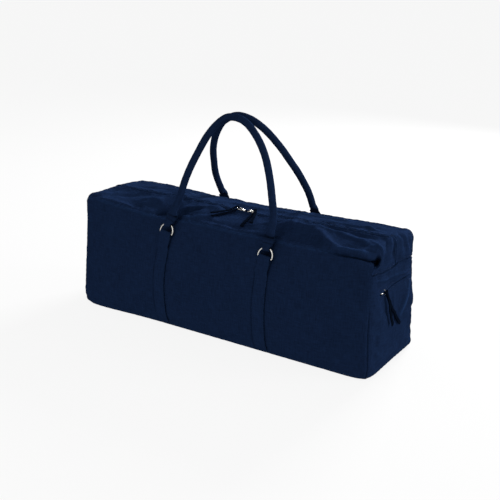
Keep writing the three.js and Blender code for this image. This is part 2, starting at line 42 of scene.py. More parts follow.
# Studio: white sweep, soft light all round, camera where the picture was taken from.
studio = {
    "sensor": 36.0,
    "lens": 57.6,  # 800 px of focal length in a 500 px frame
    "azimuth": 32.33,
    "elevation": 19.128,
    "roll": 0.634,
    "distance": 1.6701,
    "target": (0.02967, 0.0, 0.16973),
    "floorSize": 70.0,
    "floorTone": "#434343",
    "floorGlow": 0.88,  # keeps the sweep white close to the dark cloth
    "skyStrength": 0.80,
    "lampAim": (0, 0, 0.12),
    "lamps": [
        {"name": "backSoftbox", "at": (0.2, 2.1, 1.15), "size": 0.8, "watts": 138},
        {"name": "endSoftbox", "at": (2.4, 0.9, 0.9), "size": 1.0, "watts": 44},
        {"name": "frontSoftbox", "at": (-0.8, -2.6, 1.6), "size": 1.6, "watts": 16},
    ],
}
white = (1, 1, 1, 1)


def setMode(mode):
    bpy.ops.object.mode_set(mode=mode)


def deselectAll():
    if bpy.context.object and bpy.context.object.mode != "OBJECT":
        setMode("OBJECT")
    bpy.ops.object.select_all(action="DESELECT")


def makeActive(piece):
    deselectAll()
    piece.select_set(True)
    bpy.context.view_layer.objects.active = piece


def editAll(piece):
    makeActive(piece)
    setMode("EDIT")
    bpy.ops.mesh.select_all(action="SELECT")


def addCamera():
    turn, tilt, roll = [math.radians(studio[key]) for key in ("azimuth", "elevation", "roll")]
    back = Vector((math.sin(turn) * math.cos(tilt), -math.cos(turn) * math.cos(tilt), math.sin(tilt)))
    level = Vector((math.cos(turn), math.sin(turn), 0))
    plumb = back.cross(level)
    right = math.cos(roll) * level + math.sin(roll) * plumb
    up = math.cos(roll) * plumb - math.sin(roll) * level
    deselectAll()
    bpy.ops.object.camera_add()
    camera = bpy.context.object
    camera.name = "photoCamera"
    camera.data.sensor_width = studio["sensor"]
    camera.data.lens = studio["lens"]
    camera.data.clip_start = 0.01
    place = Matrix((right, up, back)).transposed().to_4x4()
    place.translation = Vector(studio["target"]) + studio["distance"] * back
    camera.matrix_world = place
    scene.camera = camera


def addLamps():
    for spec in studio["lamps"]:
        deselectAll()
        bpy.ops.object.light_add(type="AREA", location=spec["at"])
        lamp = bpy.context.object
        lamp.name = spec["name"]
        lamp.data.size = spec["size"]
        lamp.data.energy = spec["watts"]
        aim = Vector(studio["lampAim"]) - Vector(spec["at"])
        lamp.rotation_euler = aim.to_track_quat("-Z", "Y").to_euler()
    world = bpy.data.worlds.new("whiteSky")
    world.use_nodes = True
    sky = world.node_tree.nodes["Background"]
    sky.inputs["Color"].default_value = white
    sky.inputs["Strength"].default_value = studio["skyStrength"]
    scene.world = world
    scene.view_settings.view_transform = "Standard"


# One way to turn a hex colour to linear light, one to fill a node's sockets, one to add a node.
def linear(hexColour):
    parts = [int(hexColour[i:i + 2], 16) / 255 for i in (1, 3, 5)]
    return tuple(p / 12.92 if p <= 0.04045 else ((p + 0.055) / 1.055) ** 2.4 for p in parts) + (1.0,)


def fill(tree, node, inputs):
    for key, value in inputs.items():
        if isinstance(value, bpy.types.NodeSocket):
            tree.links.new(value, node.inputs[key])
        else:
            node.inputs[key].default_value = value


def addNode(tree, kind, inputs, **settings):
    node = tree.nodes.new(kind)
    for key, value in settings.items():
        setattr(node, key, value)
    fill(tree, node, inputs)
    return node


def newMaterial(name):
    material = bpy.data.materials.new(name)
    material.use_nodes = True
    return material, material.node_tree, material.node_tree.nodes["Principled BSDF"]


def addFloor():
    deselectAll()
    bpy.ops.mesh.primitive_plane_add(size=studio["floorSize"], location=(0, 0, 0))
    floor = bpy.context.object
    floor.name = "studioFloor"
    material, tree, shader = newMaterial("paperSweep")
    fill(tree, shader, {
        "Base Color": linear(studio["floorTone"]),
        "Roughness": 1.0,
        "Specular IOR Level": 0.0,
        "Emission Color": white,
        "Emission Strength": studio["floorGlow"],
    })
    floor.data.materials.append(material)


addCamera()
addLamps()
addFloor()
print("studio set")


# The few kinds of node that the materials share; sizes are in metres.
def textureCoords(tree, kind):
    return addNode(tree, "ShaderNodeTexCoord", {}).outputs[kind]


def compute(tree, operation, *terms):
    return addNode(tree, "ShaderNodeMath", dict(enumerate(terms)), operation=operation).outputs[0]


def stretched(tree, place, scale):
    return addNode(tree, "ShaderNodeMapping", {"Vector": place, "Scale": scale}).outputs[0]


def noise(tree, place, size, detail, rough=0.5):
    inputs = {"Vector": place, "Scale": 1 / size, "Detail": detail, "Roughness": rough}
    return addNode(tree, "ShaderNodeTexNoise", inputs).outputs["Fac"]


def bands(tree, place, width, distortion):
    repeat = 0.314  # a wave texture of scale 1 repeats every 0.314 m
    inputs = {"Vector": place, "Scale": repeat / width, "Distortion": distortion}
    return addNode(tree, "ShaderNodeTexWave", inputs, bands_direction="DIAGONAL").outputs["Fac"]


def mixColours(tree, first, second, factor):
    inputs = {"A": first, "B": second, "Factor": factor}
    return addNode(tree, "ShaderNodeMix", inputs, data_type="RGBA").outputs["Result"]


def mapRange(tree, value, low, high):
    inputs = {"Value": value, "From Min": low[0], "From Max": low[1], "To Min": high[0], "To Max": high[1]}
    return addNode(tree, "ShaderNodeMapRange", inputs).outputs[0]


def bumped(tree, height, strength, distance):
    inputs = {"Height": height, "Strength": strength, "Distance": distance}
    return addNode(tree, "ShaderNodeBump", inputs).outputs[0]


# Cotton canvas, woven and piece dyed: matt, a little fuzzy, with thicker threads that catch the light.
canvasLook = {
    "deep": "#0c1527",
    "dyed": "#13213b",
    # pale tone laid on for worn cloth and for painted highlights; near-black tone laid on as painted shade
    "wornAndLit": "#24406c",
    "paintedShadeTone": "#03060c",
    "fuzz": "#2450a8",
    "thread": 0.0011,  # real threads lie 0.6 mm apart, drawn coarser so that they show
    "slubWidth": 0.0018,  # half as wide again as real slubs, so that they show at this distance
    "slubLength": 0.020,
    "blotch": 0.060,
    "weaveTint": 0.10,
    "blotchTint": 0.35,
    "tintRange": (0.70, 1.60),
    "slubRange": (0.6, 1.4),
    "rough": (0.95, 0.82),
    "relief": 0.00022,
}


def canvasMaterial(name, look):
    material, tree, shader = newMaterial(name)
    place = textureCoords(tree, "UV")
    split = addNode(tree, "ShaderNodeSeparateXYZ", {"Vector": place})
    turns = math.pi / look["thread"]
    waves = [compute(tree, "SINE", compute(tree, "MULTIPLY", split.outputs[axis], turns)) for axis in "XY"]
    weave = compute(tree, "MULTIPLY", *waves)
    size = (1 / look["slubLength"], 1 / look["slubWidth"])
    slubs = [noise(tree, stretched(tree, place, scale + (1,)), 1.0, 1.5, 0.6) for scale in (size, size[::-1])]
    slub = compute(tree, "ADD", *slubs)
    # threads, slubs and dye blotches add up to how light the dye lies
    shade = compute(tree, "MULTIPLY_ADD", weave, look["weaveTint"], slub)
    cloud = compute(tree, "MULTIPLY_ADD", noise(tree, place, look["blotch"], 3.0), look["blotchTint"], shade)
    dye = addNode(tree, "ShaderNodeValToRGB", {"Fac": mapRange(tree, cloud, look["tintRange"], (0, 1))})
    dye.color_ramp.elements[0].color = linear(look["deep"])
    dye.color_ramp.elements[1].color = linear(look["dyed"])
    paint = dye.outputs["Color"]
    # over the dye: the pale of wear and painted highlight, then painted shade
    for share, tone in (("wear", "wornAndLit"), ("hollow", "paintedShadeTone")):
        amount = addNode(tree, "ShaderNodeAttribute", {}, attribute_name=share).outputs["Fac"]
        paint = mixColours(tree, paint, linear(look[tone]), amount)
    height = compute(tree, "MULTIPLY_ADD", weave, 0.5, slub)
    fill(tree, shader, {
        "Base Color": paint,
        "Roughness": mapRange(tree, slub, look["slubRange"], look["rough"]),
        "Normal": bumped(tree, height, 0.8, look["relief"]),
        "Specular IOR Level": 0.0,  # nap swallows all gloss
        "Sheen Weight": 0.012,
        "Sheen Roughness": 0.30,
        "Sheen Tint": linear(look["fuzz"]),
    })
    return material


# Polyester zip tape, herringbone woven: flatter and darker than the canvas.
tapeLook = {"deep": "#070d18", "dyed": "#0d1729", "rib": 0.0016, "relief": 0.0002}


def tapeMaterial(look):
    material, tree, shader = newMaterial("polyesterZipTape")
    ribs = bands(tree, textureCoords(tree, "UV"), look["rib"], 1.2)
    fill(tree, shader, {
        "Base Color": mixColours(tree, linear(look["deep"]), linear(look["dyed"]), ribs),
        "Normal": bumped(tree, ribs, 0.7, look["relief"]),
        "Roughness": 0.8,
    })
    return material


# Moulded nylon teeth: dark, slightly glossy, a touch uneven.
teethLook = {"dark": "#0a1120", "light": "#131d33", "grain": 0.003, "rough": (0.38, 0.55)}


def teethMaterial(look):
    material, tree, shader = newMaterial("mouldedNylon")
    grain = noise(tree, textureCoords(tree, "Object"), look["grain"], 2.0)
    fill(tree, shader, {
        "Base Color": mixColours(tree, linear(look["dark"]), linear(look["light"]), grain),
        "Roughness": mapRange(tree, grain, (0, 1), look["rough"]),
        "IOR": 1.53,
    })
    return material


# Nickel plate on cast zinc: bright, a little warm, with hairline scuffs and a softer orange peel.
nickelLook = {"bright": "#cfceca", "dull": "#a3a19b", "scuff": 0.0012, "peel": 0.004, "relief": 0.0001,
              "scuffRange": (0.3, 0.8), "rough": (0.14, 0.34)}


def nickelMaterial(look):
    material, tree, shader = newMaterial("nickelPlate")
    place = textureCoords(tree, "Object")
    scuff = noise(tree, stretched(tree, place, (1.0, 6.0, 1.0)), look["scuff"], 3.0)
    peel = noise(tree, place, look["peel"], 1.0)
    fill(tree, shader, {
        "Base Color": mixColours(tree, linear(look["dull"]), linear(look["bright"]), peel),
        "Roughness": mapRange(tree, scuff, look["scuffRange"], look["rough"]),
        "Normal": bumped(tree, peel, 0.15, look["relief"]),
        "Metallic": 1.0,
    })
    return material


# Spun sewing thread, dyed like the cloth, with its twist showing across it.
threadLook = {"dark": "#080f1c", "light": "#122038", "twist": 0.0008}


def threadMaterial(look):
    material, tree, shader = newMaterial("spunThread")
    twist = bands(tree, textureCoords(tree, "Object"), look["twist"], 0.6)
    fill(tree, shader, {
        "Base Color": mixColours(tree, linear(look["dark"]), linear(look["light"]), twist),
        "Roughness": 0.9,
        "Specular IOR Level": 0.05,
    })
    return material


canvas = canvasMaterial("cottonCanvas", canvasLook)
# narrow folded strips of the same cloth, with painted shade: the dye drawn darker for the shade their edges
# and folds cast on each other
tieClothPaintedShade = canvasMaterial("cottonTieCloth", {**canvasLook, "deep": "#03060b", "dyed": "#070d19"})
zipTapeCloth = tapeMaterial(tapeLook)
nylon = teethMaterial(teethLook)
nickel = nickelMaterial(nickelLook)
thread = threadMaterial(threadLook)
print("materials made")

# The bag as sewn: a long box with soft edges, filled so that it swells, drawn in at the handles.
bag = {
    "length": 0.700,
    "depth": 0.200,
    "height": 0.246,
    "edgeRadius": 0.014,
    "baseRadius": 0.006,
    "baseBlend": 0.06,  # height over which the base's tight radius opens to the edges' own
    "turnDown": 0.044,  # how far the top reaches down over each end
    "zipEdge": 0.0009,  # half the gap between the lips over the zip
    "slitHalf": 0.072,
    "pocketHeight": 0.165,
    "pocketGap": 0.0016,
    "gridStep": 0.0063,
    "wall": 0.0014,
}
# up and across: shares of the height and of the half depth between which each takes hold
swell = {"sides": 0.016, "lean": 0.006, "ends": 0.006, "crown": 0.011, "sidePeak": 0.75, "endPeak": 0.8,
         "up": (0, 0.12), "crownUp": (0.8, 1), "edgeAcross": (0.2, 1)}
slump = {"leftTopIn": 0.013, "leftBaseOut": 0.003, "rightBaseOut": 0.004, "up": (0, 0.45), "topUp": (0.2, 1)}
seat = {"left": -0.122, "right": 0.123, "frontIn": 0.015, "backIn": 0.004, "reach": 0.050,
        "up": (0.56, 0.98), "across": (0.35, 1)}
# how far each long top edge rises or sinks along the bag, in millimetres
edgeRises = {
    "front": [(-350, 7), (-317, 6.5), (-263, 0.5), (-206, -4.5), (-160, -10), (-124, -14.5), (-92, -10.5),
              (-60, -5), (-14, -3.5), (30, -6), (73, -8.5), (120, -11.5), (160, -11), (194, -9), (226, -6.5),
              (264, -6), (350, -5)],
    "back": [(-350, -1), (-310, 3), (-260, 4.5), (-200, 2.5), (-140, 0), (-60, -1.5), (0, -4), (60, -2.5),
             (120, 0.5), (200, 1), (300, 2.5), (350, 3)],
}
# soft folds across the top: the line each runs along, its rise and its reach
topFolds = [
    ([(0.148, -0.036), (0.196, -0.046), (0.236, -0.070), (0.264, -0.094)], 0.008, 0.020),
    ([(-0.108, -0.066), (-0.078, -0.044), (-0.046, -0.022)], 0.005, 0.017),
    ([(-0.142, -0.074), (-0.134, -0.058)], -0.007, 0.018),
    ([(-0.196, -0.062), (-0.156, 0.014)], 0.004, 0.020),
    ([(0.168, -0.086), (0.206, -0.084)], -0.004, 0.020),
    ([(0.000, -0.010), (0.050, -0.005)], -0.006, 0.050),
]
foldArea = {"up": (0.9, 1), "across": (0.78, 0.98)}
# dents and bulges: where each lies on the box, how far it reaches and which way the cloth goes
pushes = [
    ((0.344, -0.094, 0.240), 0.021, (0.003, 0.016, -0.010)),
    ((0.347, -0.090, 0.236), 0.0075, (-0.020, 0.032, -0.013)),
    ((0.350, -0.100, 0.202), 0.040, (0.0, 0.0, 0.008)),
    ((0.350, 0.100, 0.202), 0.045, (0.0, 0.0, -0.009)),
    ((0.350, 0.062, 0.112), 0.032, (0.004, 0.0, 0.0)),
    ((0.350, 0.0, 0.165), 0.040, (-0.003, 0.0, 0.0)),
    ((-0.300, -0.100, 0.0), 0.090, (0.0, -0.007, 0.0)),
    ((0.350, 0.100, 0.020), 0.090, (0.004, 0.003, 0.0)),
    ((0.350, -0.100, 0.0), 0.020, (-0.005, 0.004, 0.002)),
    ((-0.350, -0.100, 0.0), 0.020, (0.005, 0.003, 0.003)),
]
halfLength = bag["length"] / 2
halfDepth = bag["depth"] / 2
height = bag["height"]
endSeam = height - bag["turnDown"]
slitLow = bag["pocketHeight"] - bag["pocketGap"] / 2
slitHigh = bag["pocketHeight"] + bag["pocketGap"] / 2
tiny = 1e-9
onIt = 1e-6  # this near to a side counts as on it


def smoothStep(low, high, value):
    share = np.clip((value - low) / (high - low), 0, 1)
    return share * share * (3 - 2 * share)


def bell(distance, reach):
    return np.exp(-(distance / reach) ** 2)


def unit(vectors):
    return vectors / np.linalg.norm(vectors, axis=-1, keepdims=True)


def walked(points):
    return np.concatenate([[0], np.cumsum(np.linalg.norm(np.diff(points, axis=0), axis=1))])


def lineDistance(points, line):
    nearest = np.full(len(points), np.inf)
    for start, end in zip(line[:-1], line[1:]):
        start = np.array(start, float)
        run = np.array(end, float) - start
        share = np.clip(((points - start) @ run) / (run @ run), 0, 1)
        nearest = np.minimum(nearest, np.linalg.norm(points - start - share[:, None] * run, axis=1))
    return nearest


# How far the filled cloth lies from the plain rounded box.
def drape(points):
    along = points[:, 0] / halfLength
    across = points[:, 1] / halfDepth
    up = np.maximum(points[:, 2] / height, 0)
    offset = np.zeros_like(points)
    fromBase = smoothStep(*swell["up"], up)
    bulge = swell["sides"] * np.sin(np.pi * up ** swell["sidePeak"]) - swell["lean"] * up ** 5
    offset[:, 1] += across * (1 - along ** 4) * fromBase * bulge
    endBulge = along * (1 - across ** 4) * fromBase * swell["ends"]
    offset[:, 0] += endBulge * np.sin(np.pi * up ** swell["endPeak"])
    atEnd = np.abs(along) ** 3
    lower = 1 - smoothStep(*slump["up"], up)
    leftward = slump["leftTopIn"] * smoothStep(*slump["topUp"], up) - slump["leftBaseOut"] * lower
    offset[:, 0] += atEnd * np.where(along < 0, leftward, slump["rightBaseOut"] * lower)
    rises = {}
    for name, table in edgeRises.items():
        knots = np.array(table) / 1000
        rises[name] = np.interp(points[:, 0], knots[:, 0], knots[:, 1])
    nearEdge = smoothStep(*swell["edgeAcross"], np.abs(across))
    edgeRise = np.where(across < 0, rises["front"], rises["back"])
    crown = swell["crown"] * (1 - across ** 2) + nearEdge * edgeRise
    offset[:, 2] += smoothStep(*swell["crownUp"], up) * crown
    drawn = bell(points[:, 0] - seat["left"], seat["reach"])
    drawn = drawn + bell(points[:, 0] - seat["right"], seat["reach"])
    drawn = drawn * smoothStep(*seat["up"], up) * smoothStep(*seat["across"], np.abs(across))
    offset[:, 1] -= np.sign(across) * drawn * np.where(across < 0, seat["frontIn"], seat["backIn"])
    onTop = smoothStep(*foldArea["up"], up) * (1 - smoothStep(*foldArea["across"], np.abs(across)))
    for line, rise, reach in topFolds:
        offset[:, 2] += rise * bell(lineDistance(points[:, :2], line), reach) * onTop
    for at, reach, by in pushes:
        weight = bell(np.linalg.norm(points - np.array(at), axis=1), reach)
        offset += weight[:, None] * np.array(by)
    return offset


# A place on the sharp box brought to the rounded, filled cloth.
def onCloth(sharp):
    sharp = np.asarray(sharp, float)
    widening = smoothStep(0, bag["baseBlend"], sharp[:, 2:])
    radius = bag["baseRadius"] + (bag["edgeRadius"] - bag["baseRadius"]) * widening
    core = sharp.copy()
    core[:, :1] = np.clip(sharp[:, :1], radius - halfLength, halfLength - radius)
    core[:, 1:2] = np.clip(sharp[:, 1:2], radius - halfDepth, halfDepth - radius)
    core[:, 2:] = np.clip(sharp[:, 2:], bag["baseRadius"], height - bag["edgeRadius"])
    outward = sharp - core
    outward /= np.maximum(np.linalg.norm(outward, axis=1), tiny)[:, None]
    rounded = core + outward * radius
    return rounded + drape(rounded)


# The cloth's grid: lines run round the box and crowd at seams, zip and pocket.
def spread(low, high):
    count = max(1, round((high - low) / bag["gridStep"]))
    return np.linspace(low, high, count + 1)


def joinLines(*runs):
    return np.unique(np.round(np.concatenate([np.asarray(run, float) for run in runs]), 6))


nearSeam = np.array([0, 0.0016, 0.0038, 0.0070, 0.0105])
besideSeam = nearSeam[:3]
seamClear = 0.007
slitClear = 0.005
edge = bag["edgeRadius"]
xLines = joinLines(
    -halfLength + nearSeam,
    spread(edge - halfLength, halfLength - edge),
    halfLength - nearSeam,
)
zLines = joinLines(
    nearSeam,
    spread(edge, slitLow - seamClear),
    slitLow - besideSeam,
    slitHigh + besideSeam,
    spread(slitHigh + seamClear, endSeam - seamClear),
    endSeam - besideSeam,
    endSeam + besideSeam,
    spread(endSeam + seamClear, height - edge),
    height - nearSeam,
)
yHalf = joinLines(
    bag["zipEdge"] + besideSeam,
    spread(bag["zipEdge"] + seamClear, bag["slitHalf"] - slitClear),
    [bag["slitHalf"]],
    spread(bag["slitHalf"] + slitClear, halfDepth - edge),
    halfDepth - nearSeam,
)
yLines = joinLines(-yHalf, yHalf)
lineCounts = (len(xLines), len(yLines), len(zLines))
# each side of the box: the axis that it stays still on, and whether it is the far end of that axis
sides = {"front": (1, False), "back": (1, True), "bottom": (2, False), "top": (2, True), "left": (0, False),
         "right": (0, True)}
turned = ("back", "bottom", "left")  # sides whose grid would face inward


# The lattice numbers of one side of the box, as a table of columns by rows.
def sideGrid(side):
    axis, farEnd = sides[side]
    free = [np.arange(n) for n in lineCounts]
    free[axis] = free[axis][-1:] if farEnd else free[axis][:1]
    i, j, k = np.meshgrid(*free, indexing="ij")
    return np.squeeze((i * lineCounts[1] + j) * lineCounts[2] + k, axis=axis)


def sideLines(side):
    return [lines for axis, lines in enumerate((xLines, yLines, zLines)) if axis != sides[side][0]]


latticeIds = np.unique(np.concatenate([sideGrid(side).ravel() for side in sides]))
grids = {side: np.searchsorted(latticeIds, sideGrid(side)) for side in sides}
sharpPoints = np.stack([
    xLines[latticeIds // (lineCounts[1] * lineCounts[2])],
    yLines[(latticeIds // lineCounts[2]) % lineCounts[1]],
    zLines[latticeIds % lineCounts[2]],
], axis=1)


def gridQuads(grid):
    return np.stack([grid[:-1, :-1], grid[1:, :-1], grid[1:, 1:], grid[:-1, 1:]], axis=-1).reshape(-1, 4)


def sideQuads(side):
    found = gridQuads(grids[side])
    return found[:, ::-1] if side in turned else found


# Which cut panel each quad of a side belongs to.
def panelNames(side, middles):
    _, y, z = middles.T
    if side in ("front", "back", "bottom"):
        return np.full(len(middles), side + "_panel", dtype=object)
    names = np.where(y < 0, "top_panel_front", "top_panel_back").astype(object)
    names[np.abs(y) < bag["zipEdge"]] = "zip gap"
    if side != "top":
        names[z < endSeam] = "end_panel_" + side
    if side == "right":
        names[(np.abs(y) < bag["slitHalf"]) & (z > slitLow) & (z < slitHigh)] = "pocket slit"
    return names


quadSets = {side: sideQuads(side) for side in sides}
quads = np.concatenate(list(quadSets.values()))
quadPanels = np.concatenate([
    panelNames(side, sharpPoints[found].mean(axis=1)) for side, found in quadSets.items()
])
print("cloth grid of", len(sharpPoints), "points")


def meshPiece(name, points, faces):
    mesh = bpy.data.meshes.new(name)
    mesh.from_pydata([tuple(p) for p in np.asarray(points)], [], [tuple(int(i) for i in f) for f in faces])
    mesh.update()
    piece = bpy.data.objects.new(name, mesh)
    scene.collection.objects.link(piece)
    return piece


def giveUv(piece, corners):
    layer = piece.data.uv_layers.new(name="UVMap")
    layer.data.foreach_set("uv", np.asarray(corners, float).ravel())


def meshPoints(piece):
    flat = np.zeros(len(piece.data.vertices) * 3)
    piece.data.vertices.foreach_get("co", flat)
    return flat.reshape(-1, 3)


# Even random swells: a few waves of one length in random directions.
def swells(u, v, wave, seed):
    draw = np.random.default_rng(seed)
    waveCount = 9
    total = np.zeros_like(u)
    for _ in range(waveCount):
        heading = draw.uniform(0, 2 * np.pi)
        turns = 2 * np.pi / (wave * draw.uniform(0.75, 1.4))
        total += np.sin(turns * (u * np.cos(heading) + v * np.sin(heading)) + draw.uniform(0, 2 * np.pi))
    return total / (waveCount / 2)


# Cloth simulation of the whole shell: the cloth is cut a little large and pressed out by the filling.
simulation = {
    "frames": 24,
    "gravity": 0.15,  # the filling carries most of the cloth's weight
    "cap": 0.0045,
    "hold": 0.14,  # how strongly the filling holds open cloth in place
    "edgeHold": 0.9,
    "edgeReach": 0.012,
    "strapReach": 0.037,
    "baseReach": 0.02,
    "zipHold": 0.95,
    "zipReach": 0.007,
    "slitReach": (0.078, 0.008),
    "cloth": {
        "quality": 6,
        "mass": 0.3,
        "air_damping": 2.0,
        "tension_stiffness": 22.0,
        "compression_stiffness": 22.0,
        "shear_stiffness": 11.0,
        "bending_stiffness": 0.8,
        "shrink_min": -0.030,
        "vertex_group_mass": "hold",
        "pin_stiffness": 1.0,
        "use_pressure": True,
        "uniform_pressure_force": 0.9,
    },
}


def holdWeights():
    x, y, z = sharpPoints.T
    gaps = np.stack([halfLength - np.abs(x), halfDepth - np.abs(y), z, height - z], axis=1)
    toEdge = np.sort(gaps, axis=1)[:, 1]  # a point on a side has one gap of nought already
    hold = simulation["hold"]
    held = hold + (simulation["edgeHold"] - hold) * bell(toEdge, simulation["edgeReach"])
    onWall = np.abs(np.abs(y) - halfDepth) < onIt
    for strapX in (seat["left"], seat["right"]):
        held = np.where(onWall, np.maximum(held, bell(x - strapX, simulation["strapReach"])), held)
    held = np.maximum(held, 1 - smoothStep(0.0, simulation["baseReach"], z))
    onZip = (np.abs(y) < simulation["zipReach"]) & (z > endSeam)
    slitWide, slitTall = simulation["slitReach"]
    onSlit = (x > halfLength - onIt) & (np.abs(z - bag["pocketHeight"]) < slitTall) & (np.abs(y) < slitWide)
    held[onZip | onSlit] = simulation["zipHold"]
    return np.clip(held, 0, 1)


def simulateCloth(start):
    shell = meshPiece("simulationShell", start, quads)
    group = shell.vertex_groups.new(name="hold")
    for i, weight in enumerate(holdWeights()):
        group.add([i], float(weight), "REPLACE")
    makeActive(shell)
    bpy.ops.object.modifier_add(type="CLOTH")
    modifier = shell.modifiers[-1]
    for key, value in simulation["cloth"].items():
        setattr(modifier.settings, key, value)
    modifier.settings.effector_weights.gravity = simulation["gravity"]
    modifier.collision_settings.use_collision = False
    modifier.point_cache.frame_start = 1
    modifier.point_cache.frame_end = simulation["frames"]
    for step in range(1, simulation["frames"] + 1):
        scene.frame_set(step)
    settled = meshPoints(shell.evaluated_get(bpy.context.evaluated_depsgraph_get()))
    scene.frame_set(1)
    bpy.data.objects.remove(shell)
    moved = settled - start
    far = np.linalg.norm(moved, axis=1)
    cap = simulation["cap"]
    scale = cap * np.tanh(far / cap) / np.maximum(far, tiny)
    print("cloth simulated, most moved", round(float(far.max()) * 1000, 1), "mm")
    return start + moved * scale[:, None]


filled = onCloth(sharpPoints)
cloth = simulateCloth(filled)
cloth[:, 2] = np.maximum(cloth[:, 2], 0.0)


# Facings of the whole cloth at its grid points, shared by both panels at a seam.
def clothFacings():
    a, b, c, d = [cloth[quads[:, k]] for k in range(4)]
    quadFacings = np.cross(c - a, d - b)
    total = np.zeros_like(cloth)
    for k in range(4):
        np.add.at(total, quads[:, k], quadFacings)
    return unit(total)


facings = clothFacings()


# A point of the settled cloth from its place on a side's flat grid, and the cloth's facing there.
def onSide(side, a, b):
    columns, rows = sideLines(side)
    table = cloth[grids[side]]
    a = np.clip(np.asarray(a, float), columns[0], columns[-1])
    b = np.clip(np.asarray(b, float), rows[0], rows[-1])
    i = np.clip(np.searchsorted(columns, a) - 1, 0, len(columns) - 2)
    j = np.clip(np.searchsorted(rows, b) - 1, 0, len(rows) - 2)
    s = ((a - columns[i]) / (columns[i + 1] - columns[i]))[..., None]
    t = ((b - rows[j]) / (rows[j + 1] - rows[j]))[..., None]
    near = table[i, j] * (1 - s) + table[i + 1, j] * s
    far = table[i, j + 1] * (1 - s) + table[i + 1, j + 1] * s
    return near * (1 - t) + far * t


def facingOn(side, a, b):
    reach = 0.003
    alongA = onSide(side, a + reach, b) - onSide(side, a - reach, b)
    alongB = onSide(side, a, b + reach) - onSide(side, a, b - reach)
    return unit(np.cross(alongB, alongA) if side in turned else np.cross(alongA, alongB))


def offSide(side, a, b, lift):
    return onSide(side, a, b) + lift * facingOn(side, a, b)


# Places on the top's long strip, which runs down over both ends: s along it, y across.
def onTopStrip(s, y, lift=0.0):
    s = np.asarray(s, float)
    y = np.broadcast_to(np.asarray(y, float), s.shape)
    point = np.zeros(s.shape + (3,))
    normal = np.zeros(s.shape + (3,))
    parts = (("top", np.abs(s) <= halfLength), ("right", s > halfLength), ("left", s < -halfLength))
    for side, mask in parts:
        if not mask.any():
            continue
        a = s[mask] if side == "top" else y[mask]
        b = y[mask] if side == "top" else height - (np.abs(s[mask]) - halfLength)
        point[mask] = onSide(side, a, b)
        normal[mask] = facingOn(side, a, b)
    return point + lift * normal, normal


# Places on the pocket's end: y along its zip, z up.
def onPocketEnd(y, z, lift=0.0):
    normal = facingOn("right", y, z)
    return onSide("right", y, z) + lift * normal, normal


# Cut panels with their flat places as UV, seams drawn in, puckers along them, and a cloth thickness.
panels = {
    "front_panel": {"flat": (0.700, 0.250), "levels": 1, "seed": 11},
    "back_panel": {"flat": (0.700, 0.250), "levels": 1, "seed": 12},
    "bottom_panel": {"flat": (0.700, 0.200), "levels": 1, "seed": 13},
    "end_panel_left": {"flat": (0.200, 0.196), "levels": 1, "seed": 14},
    "end_panel_right": {"flat": (0.200, 0.196), "levels": 2, "seed": 15},
    "top_panel_front": {"flat": (0.790, 0.100), "levels": 2, "seed": 16},
    "top_panel_back": {"flat": (0.790, 0.100), "levels": 2, "seed": 17},
}
longWalls = ("front_panel", "back_panel")
# Kinds of seam: how far the line stands up or lies in, how wide, its puckers, how pale it is (part real wear,
# part painted highlight) and how dark its hollow is painted (painted shade).
seams = {
    "corner": {"rise": -0.0018, "width": 0.0026, "pucker": 0.0005, "wear": 0.15, "hollow": 0.3},
    "base": {"rise": -0.0012, "width": 0.0024, "pucker": 0.0003, "wear": 0.4, "hollow": 0.25},
    "topEdge": {"rise": 0.0006, "width": 0.0024, "pucker": 0.0006, "wear": 1.0, "hollow": 0.0},
    "turnDown": {"rise": -0.0019, "width": 0.0016, "pucker": 0.0009, "wear": 0.2, "hollow": 0.38},
    "zip": {"rise": 0.0008, "width": 0.0030, "pucker": 0.0008, "wear": 0.5, "hollow": 0.3},
    "slit": {"rise": 0.0008, "width": 0.0030, "pucker": 0.0005, "wear": 0.2, "hollow": 0.12},
}
pucker = {"wave": 0.012, "reach": 0.018, "clear": 0.005, "slant": 0.2}
topStitch = {"seams": ("zip", "slit", "turnDown"), "in": 0.0062, "depth": 0.0009, "width": 0.0016}
# how wide the painted shade along each seam is
shade = {"width": 0.0020, "pulled": (0.10, 0.17)}  # upper corners are pulled smooth between these heights
# pale line just inside each seam: part real rubbed wear, part painted highlight
rubAndHighlight = {"share": 0.16, "in": 0.002, "width": 0.003, "even": 0.55}
softSwell = {"rise": 0.0006, "wave": 0.035, "clear": 0.02}
# Where the sliders stand, and how far they part the lips over the zip.
sliderSpots = {"main": (0.010, 0.030), "pocket": -0.060}
lips = {"main": 0.0042, "pocket": 0.0012, "reach": 0.008, "full": 0.006, "shut": 0.018, "rise": 0.0016}
# The front seam is drawn in deep toward the tucked corner, and painted shade darkens the crevice.
crevice = {"start": (0.235, 0.300), "end": (0.344, 0.352), "depth": 0.0065, "width": 0.0042, "hollow": 0.6}
# creases: deep ones get painted shade along their hollow, narrow raised ones a pale crest, part rubbed wear
# and part painted highlight
fold = {"taper": 0.025, "least": 0.45, "deep": 0.006, "sharp": 0.008, "pale": 20, "dark": 50, "darkest": 0.75,
        "paleWidth": 0.6, "darkWidth": 0.8}
